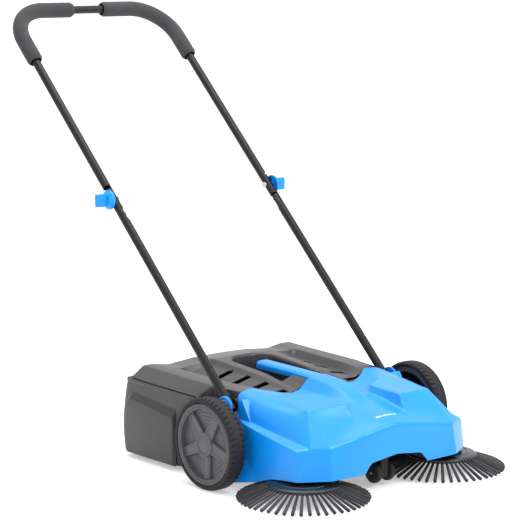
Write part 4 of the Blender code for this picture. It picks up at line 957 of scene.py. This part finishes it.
def build_roller():
    """Helical rows of tufts on the roller brush."""
    bm = bmesh.new()
    layer = bm.verts.layers.float.new("tone")
    rows, tufts, half = 6, 46, 0.172
    for row in range(rows):
        for number in range(tufts):
            along = -half + 2 * half * number / (tufts - 1)
            angle = 2 * math.pi * row / rows + 1.1 * abs(along) / half
            for strand in range(10):
                turn_by = strand * GOLDEN_ANGLE
                reach = math.sqrt((strand + 0.5) / 10)
                a, b = reach * math.cos(turn_by), reach * math.sin(turn_by)
                out = angle + 0.030 * b
                end_out = angle + 0.052 * b
                start = Vector((along + a * 0.0018, 0.0216 * math.cos(out), 0.0216 * math.sin(out)))
                length = 0.0553 - random.uniform(0, 0.0008)
                end = Vector((along + a * 0.0030, length * math.cos(end_out),
                              length * math.sin(end_out)))
                tone = random.uniform(0.7, 1.3)
                # random strand tone, times painted shade toward the core and painted light toward
                # the tip
                filament_into(bm, layer,
                              [(start, 0.0005, tone * 0.8), (end, 0.0005, tone * 1.2)], 4)
    matrix = Matrix.Translation((0, ROLLER.y - AXLE_Y, ROLLER.z))
    roller = solid(bm, "roller_bristles", matrix)
    piece(roller, BRISTLE, "main_brush", ["main_brush_bristles"], 50)


# ---------------------------------------------------------------- handle
def leaning(x=0.0):
    """Frame at the fold hinge whose local Y runs up the handle."""
    return Matrix.Translation((x, HINGE.y - AXLE_Y, HINGE.z)) @ Matrix.Rotation(LEAN, 4, "X")


def handle_path(start, end_x, steps):
    """Middle line of the +X half of the handle, in the handle's own plane."""
    leg_end = TOP_BAR - BEND_RADIUS
    bend = arc((HANDLE_X - BEND_RADIUS, leg_end), BEND_RADIUS, 0, 90, steps)
    return [(HANDLE_X, start), *bend, (end_x, leg_end + BEND_RADIUS)]


def sweep_into(bm, path, radii, sides):
    """Sweeps a ring along points in the plane z = 0, with a radius for each point."""
    rings = []
    for number, (point, radius) in enumerate(zip(path, radii)):
        before = path[max(number - 1, 0)]
        after = path[min(number + 1, len(path) - 1)]
        along = (Vector(after) - Vector(before)).normalized()
        side = Vector((-along.y, along.x))
        ring = []
        for k in range(sides):
            angle = 2 * math.pi * k / sides
            offset = side * math.cos(angle) * radius
            ring.append(bm.verts.new((point[0] + offset.x, point[1] + offset.y,
                                      math.sin(angle) * radius)))
        rings.append(ring)
    for first, second in zip(rings, rings[1:]):
        bridge(bm, first, second)
    return rings


def build_upper_handle():
    """The U shaped tube, with its ends cut to half laps and drilled for the clamp bolts."""
    sides = 32
    bm = bmesh.new()
    start = 0.005 - LAP
    half = handle_path(start, 0.0, 24)[:-1]
    path = half + [(-x, along) for x, along in reversed(half)]
    outer = sweep_into(bm, path, [TUBE_RADIUS] * len(path), sides)
    inner = sweep_into(bm, path, [TUBE_RADIUS - TUBE_WALL] * len(path), sides)
    bridge(bm, outer[0], inner[0])
    bridge(bm, outer[-1], inner[-1])
    handle = solid(bm, "handle_tube")
    cuts = bmesh.new()
    for _, sign in SIDES:
        x = sign * HANDLE_X
        low, high = sorted((x - sign * 0.0006, x + sign * 0.020))
        box_into(cuts, (high - low, LAP + 0.045, 0.040),
                 ((low + high) / 2, (LAP - 0.045) / 2, 0))
    boolean(handle, cuts)
    cuts = bmesh.new()
    for _, sign in SIDES:
        x = sign * HANDLE_X
        for radius, shift in ((0.0036, 0), (0.0062, 0.0105)):
            hole = [(0, -0.020), (radius, -0.020), (radius, 0.020), (0, 0.020)]
            lathe_into(cuts, hole, 24, outward(1, x, shift, -shift))
    boolean(handle, cuts)
    handle.data.transform(leaning())
    piece(handle, TUBE, "handle_upper", ["upper_handle"], 32)


def build_grip(side, sign):
    """Foam sleeve with rolled ends; its surface is a little uneven, as real foam is."""
    path = handle_path(GRIP_START, GRIP_INNER_X, 40)
    fine = []
    for one, two in zip(path, path[1:]):
        length = (Vector(two) - Vector(one)).length
        steps = max(1, int(length / 0.006))
        for k in range(steps):
            fine.append(tuple(Vector(one).lerp(Vector(two), k / steps)))
    fine.append(path[-1])
    total, reach = [0.0], 0.0
    for one, two in zip(fine, fine[1:]):
        reach += (Vector(two) - Vector(one)).length
        total.append(reach)
    roll = 0.0035                # radius of the rolled ends
    mouth, mouth_depth = 0.0138, 0.018
    radii, bore = [], []
    for distance in total:
        edge = min(distance, reach - distance)
        lift = math.sqrt(max(0.0, 1 - (1 - min(1.0, edge / roll)) ** 2))
        radii.append(GRIP_RADIUS - roll * (1 - lift))
        inside = min(1.0, edge / mouth_depth)
        bore.append(mouth - (mouth - TUBE_RADIUS - 0.0006) * max(0.0, 2.5 * inside - 1.5))
    bm = bmesh.new()
    sides = 48
    outer = sweep_into(bm, fine, radii, sides)
    inner = sweep_into(bm, fine, bore, sides)
    bridge(bm, outer[0], inner[0])
    bridge(bm, outer[-1], inner[-1])
    if sign < 0:
        bmesh.ops.transform(bm, matrix=Matrix.Scale(-1, 4, (1, 0, 0)), verts=bm.verts)
    grip = solid(bm, "foam_sleeve_" + side)
    grip.data.transform(leaning())
    # the bore faces take the black material: painted shade inside the sleeve's mouths
    skin_faces = sides * (len(fine) - 1)
    for face in grip.data.polygons:
        if skin_faces <= face.index < 2 * skin_faces:
            face.material_index = 1
    piece(grip, FOAM, "handle_upper", ["foam_grip_" + side], 50, extra=[BLACK_PLASTIC_AND_SHADE])


def build_knob(side, sign):
    """Round clamp knob with one flat wing."""
    base = TUBE_RADIUS + GAP
    bm = bmesh.new()
    profile = [(0.0036, base + 0.0095), (0.0036, base), (0.0074, base), (0.0078, base + 0.0042),
               (0.0188, base + 0.0042), (0.0194, base), (0.0222, base), (0.0230, base + 0.0008),
               (0.0230, base + 0.0024), (0.0223, base + 0.0029), (0.0221, base + 0.0036),
               (0.0218, base + 0.0060), (0.0150, base + 0.0124), (0.0060, base + 0.0138),
               (0, base + 0.0140), (0, base + 0.0095)]
    lathe_into(bm, profile, 64)
    for number in range(6):
        turn = Matrix.Rotation(2 * math.pi * number / 6, 4, "Z")
        box_into(bm, (0.0120, 0.0016, 0.0040), (0.0132, 0, base + 0.0026), turn)
    wing_in, wing_out = base + 0.004, WING_REACH - HANDLE_X
    rings = []
    for along, thick, tall in ((wing_in, 0.0060, 0.0150), (wing_out - 0.0120, 0.0046, 0.0146),
                               (wing_out, 0.0038, 0.0145)):
        rings.append([(-tall, -thick, along), (tall, -thick, along), (tall, thick, along),
                      (-tall, thick, along)])
    wing = loft_into(bm, rings)
    round_edges(bm, wing, 0.0014, 3, 30)
    wing_middle = (wing_in + wing_out) / 2 - 0.001
    for flip in (-1, 1):
        box_into(bm, (0.0030, 0.0016, 0.0200), (0, flip * 0.0050, wing_middle))
    matrix = outward(sign, sign * HANDLE_X, HINGE.y - AXLE_Y, HINGE.z)
    knob = solid(bm, "wing_knob_" + side, matrix)
    piece(knob, BLUE, "knob_" + side, ["clamp_knob_" + side], 32)


def build_pivot_cap(side, sign):
    """Round blue cap with a groove, over the lower end of the handle tube."""
    bm = bmesh.new()
    profile = [(0.0046, 0), (0.0224, 0), (0.0230, 0.0008), (0.0230, 0.0030), (0.0222, 0.0050),
               (0.0208, 0.0060), (0.0192, 0.0062), (0.0184, 0.0052), (0.0176, 0.0040),
               (0.0166, 0.0040), (0.0156, 0.0054), (0.0140, 0.0066), (0.0090, 0.0072),
               (0, 0.0074), (0, 0.0050), (0.0046, 0.0050)]
    lathe_into(bm, profile, 64)
    matrix = outward(sign, sign * (HANDLE_X + TUBE_RADIUS + GAP), PIVOT.y - AXLE_Y, PIVOT.z)
    cap = solid(bm, "pivot_disc_" + side, matrix)
    piece(cap, BLUE, "handle_lower", ["pivot_cap_" + side], 40)


def build_hinge_screw(side, sign):
    """Small screw on the inner side of the hinge insert."""
    bm = bmesh.new()
    dome = [(0, -0.0010), (0.0042, -0.0010), (0.0042, 0.0006), (0.0034, 0.0020), (0.0018, 0.0028),
            (0, 0.0030)]
    lathe_into(bm, dome, 24, closed=False)
    matrix = leaning(sign * (HANDLE_X - 0.0078)) @ Matrix.Translation((0, -0.0455, 0)) @ (
        Matrix.Rotation(-sign * math.pi / 2, 4, "Y"))
    screw = solid(bm, "hinge_screw_" + side, matrix)
    piece(screw, BLACK_PLASTIC_AND_SHADE, "handle_lower", (), 40)


# ---------------------------------------------------------------- castor
def build_castor():
    """Two plain discs with rounded rims."""
    for side, sign in SIDES:
        bm = bmesh.new()
        profile = [(0.0036, 0.0), (0.0190, 0.0), (0.0212, 0.0006), (0.0226, 0.0022),
                   (0.0230, 0.0045), (0.0230, 0.0090), (0.0225, 0.0112), (0.0208, 0.0130),
                   (0.0176, 0.0142), (0.0120, 0.0148), (0.0080, 0.0150), (0.0076, 0.0142),
                   (0.0036, 0.0142)]
        lathe_into(bm, profile, 64)
        middle = centre_of("castor_wheel_" + side)
        matrix = outward(sign, sign * 0.0125, middle.y - AXLE_Y, middle.z)
        wheel = solid(bm, "castor_disc_" + side, matrix)
        piece(wheel, RUBBER, "castor_" + side, ["castor_wheel_" + side], 35)


# ---------------------------------------------------------------- badge and latch
def build_badge(height):
    """Plain raised bars across the front of the hood, laid on its surface."""
    bm = bmesh.new()
    middle_y, half_depth, rise, steps = -0.2280, 0.0026, 0.0003, 6
    widths = (0.0170, 0.0120, 0.0120, 0.0080)
    gap = 0.0030
    corners = ((-half_depth, -rise), (-half_depth, rise), (half_depth, rise), (half_depth, -rise))
    start = -(sum(widths) + gap * (len(widths) - 1)) / 2
    for width in widths:
        columns = []
        for step in range(steps + 1):
            x = start + width * step / steps
            columns.append([(x, middle_y + y, height(x, middle_y + y) + lift)
                            for y, lift in corners])
        bar = loft_into(bm, columns)
        round_edges(bm, bar, 0.0002, 2)
        start += width + gap
    badge = solid(bm, "badge")
    piece(badge, MARK, "chassis", angle=30)


def build_latch(height):
    """Small catch tongue beside the hand well, where the lid meets the hood."""
    bm = bmesh.new()
    x, y = 0.0440, 0.0520
    low = height(x, y)
    body = box_into(bm, (0.0090, 0.0240, 0.0050), (x, y, low + 0.0010))
    round_edges(bm, body, 0.0010, 2)
    pad = box_into(bm, (0.0070, 0.0060, 0.0030), (x, y + 0.0060, low + 0.0040))
    round_edges(bm, pad, 0.0006, 2)
    latch = solid(bm, "latch_tongue")
    piece(latch, BLACK_PLASTIC_AND_SHADE, "hopper", angle=30)


# ---------------------------------------------------------------- kept CAD nodes
KEPT = {
    "chassis_frame": FRAME, "castor_bracket": RUBBER, "castor_pin": ZINC, "brush_hood": BLACK_PLASTIC_AND_SHADE,
    "stub_axle_left": ZINC, "stub_axle_right": ZINC, "hopper_catch": BLACK_PLASTIC_AND_SHADE, "mouth_lip": LIP,
    "main_brush_core": BLACK_PLASTIC_AND_SHADE, "main_brush_pinion": BLACK_PLASTIC_AND_SHADE, "wheel_spur_right": BLACK_PLASTIC_AND_SHADE,
    "wheel_gear_left": BLACK_PLASTIC_AND_SHADE, "wheel_gear_right": BLACK_PLASTIC_AND_SHADE,
    "drive_shaft_left": BLACK_PLASTIC_AND_SHADE, "drive_shaft_right": BLACK_PLASTIC_AND_SHADE,
    "side_brush_gear_left": BLACK_PLASTIC_AND_SHADE, "side_brush_gear_right": BLACK_PLASTIC_AND_SHADE,
    "lower_tube_left": TUBE, "lower_tube_right": TUBE,
    "hinge_insert_left": BLACK_PLASTIC_AND_SHADE, "hinge_insert_right": BLACK_PLASTIC_AND_SHADE,
    "pivot_bolt_left": ZINC, "pivot_bolt_right": ZINC,
    "clamp_bolt_left": ZINC, "clamp_bolt_right": ZINC,
    "clamp_nut_left": ZINC, "clamp_nut_right": ZINC,
}


def dress_kept_nodes():
    """Materials and smooth shading for the CAD nodes that stay visible."""
    for name, material in KEPT.items():
        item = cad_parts[name]
        item.data.materials.clear()
        item.data.materials.append(material)
        for face in item.data.polygons:
            face.use_smooth = True
        item.data.set_sharp_from_angle(angle=math.radians(35))


# ---------------------------------------------------------------- stage
FLOOR_HALF = 80.0
LAMPS = (("key", (1.2, -2.6, 2.6), (0, -0.2, 0.15), 1.8, 76),
         ("top", (0.2, 0.2, 3.2), (0, 0, 0.2), 2.4, 66),
         ("side", (-3.2, -1.2, 1.1), (0, -0.1, 0.2), 1.6, 10))
CAMERA_AZIMUTH, CAMERA_ELEVATION = math.radians(-40.023), math.radians(8.647)
CAMERA_DISTANCE, CAMERA_LENS = 4.604, 138.97
CAMERA_TARGET = Vector((0, AXLE_Y + 0.1934, 0.448))


def build_floor():
    """A plain pale floor that reaches past the picture."""
    bm = bmesh.new()
    corners = ((-1, -1), (1, -1), (1, 1), (-1, 1))
    bm.faces.new([bm.verts.new((x * FLOOR_HALF, y * FLOOR_HALF, 0)) for x, y in corners])
    floor = solid(bm, "floor")
    pale = bpy.data.materials.new("floor_pale")
    pale.use_nodes = True
    shader = pale.node_tree.nodes["Principled BSDF"]
    shader.inputs["Base Color"].default_value = (0.72, 0.72, 0.72, 1)
    shader.inputs["Roughness"].default_value = 0.9
    shader.inputs["Specular IOR Level"].default_value = 0.1
    shader.inputs["Emission Color"].default_value = (1, 1, 1, 1)
    shader.inputs["Emission Strength"].default_value = 0.40
    floor.data.materials.append(pale)


def build_sky():
    """White light from all round, a little stronger from above."""
    world = bpy.data.worlds.new("studio")
    world.use_nodes = True
    sky = world.node_tree
    sky.nodes["Background"].inputs["Color"].default_value = (1, 1, 1, 1)
    place = node_of(sky, "ShaderNodeTexCoord")
    split = node_of(sky, "ShaderNodeSeparateXYZ")
    sky.links.new(place.outputs["Generated"], split.inputs[0])
    sky.links.new(mapped(sky, split.outputs["Z"], 0.90, 1.25, 0.0, 0.7),
                  sky.nodes["Background"].inputs["Strength"])
    bpy.context.scene.world = world


def build_lamp(name, place, target, size, energy):
    """A soft square lamp."""
    data = bpy.data.lights.new(name, "AREA")
    data.size = size
    data.energy = energy
    lamp = bpy.data.objects.new(name, data)
    bpy.context.scene.collection.objects.link(lamp)
    lamp.location = place
    direction = Vector(target) - Vector(place)
    lamp.rotation_euler = direction.to_track_quat("-Z", "Y").to_euler()


def build_camera():
    """A long lens, from the photo's side."""
    look = Vector((-math.sin(CAMERA_AZIMUTH) * math.cos(CAMERA_ELEVATION),
                   math.cos(CAMERA_AZIMUTH) * math.cos(CAMERA_ELEVATION),
                   -math.sin(CAMERA_ELEVATION)))
    data = bpy.data.cameras.new("camera")
    data.lens = CAMERA_LENS
    data.sensor_width = 36
    data.clip_end = 400
    camera = bpy.data.objects.new("camera", data)
    bpy.context.scene.collection.objects.link(camera)
    camera.location = CAMERA_TARGET - look * CAMERA_DISTANCE
    camera.rotation_euler = look.to_track_quat("-Z", "Y").to_euler()
    bpy.context.scene.camera = camera


build_cover()
build_lid()
build_tub()
build_roller()
build_upper_handle()
build_castor()
for side, sign in SIDES:
    build_rim(side, sign)
    build_hub(side, sign)
    build_tyre(side, sign)
    build_side_brush(side, sign)
    build_grip(side, sign)
    build_knob(side, sign)
    build_pivot_cap(side, sign)
    build_hinge_screw(side, sign)
dress_kept_nodes()
build_floor()
build_sky()
for lamp_row in LAMPS:
    build_lamp(*lamp_row)
build_camera()
bpy.context.scene.view_settings.view_transform = "Standard"
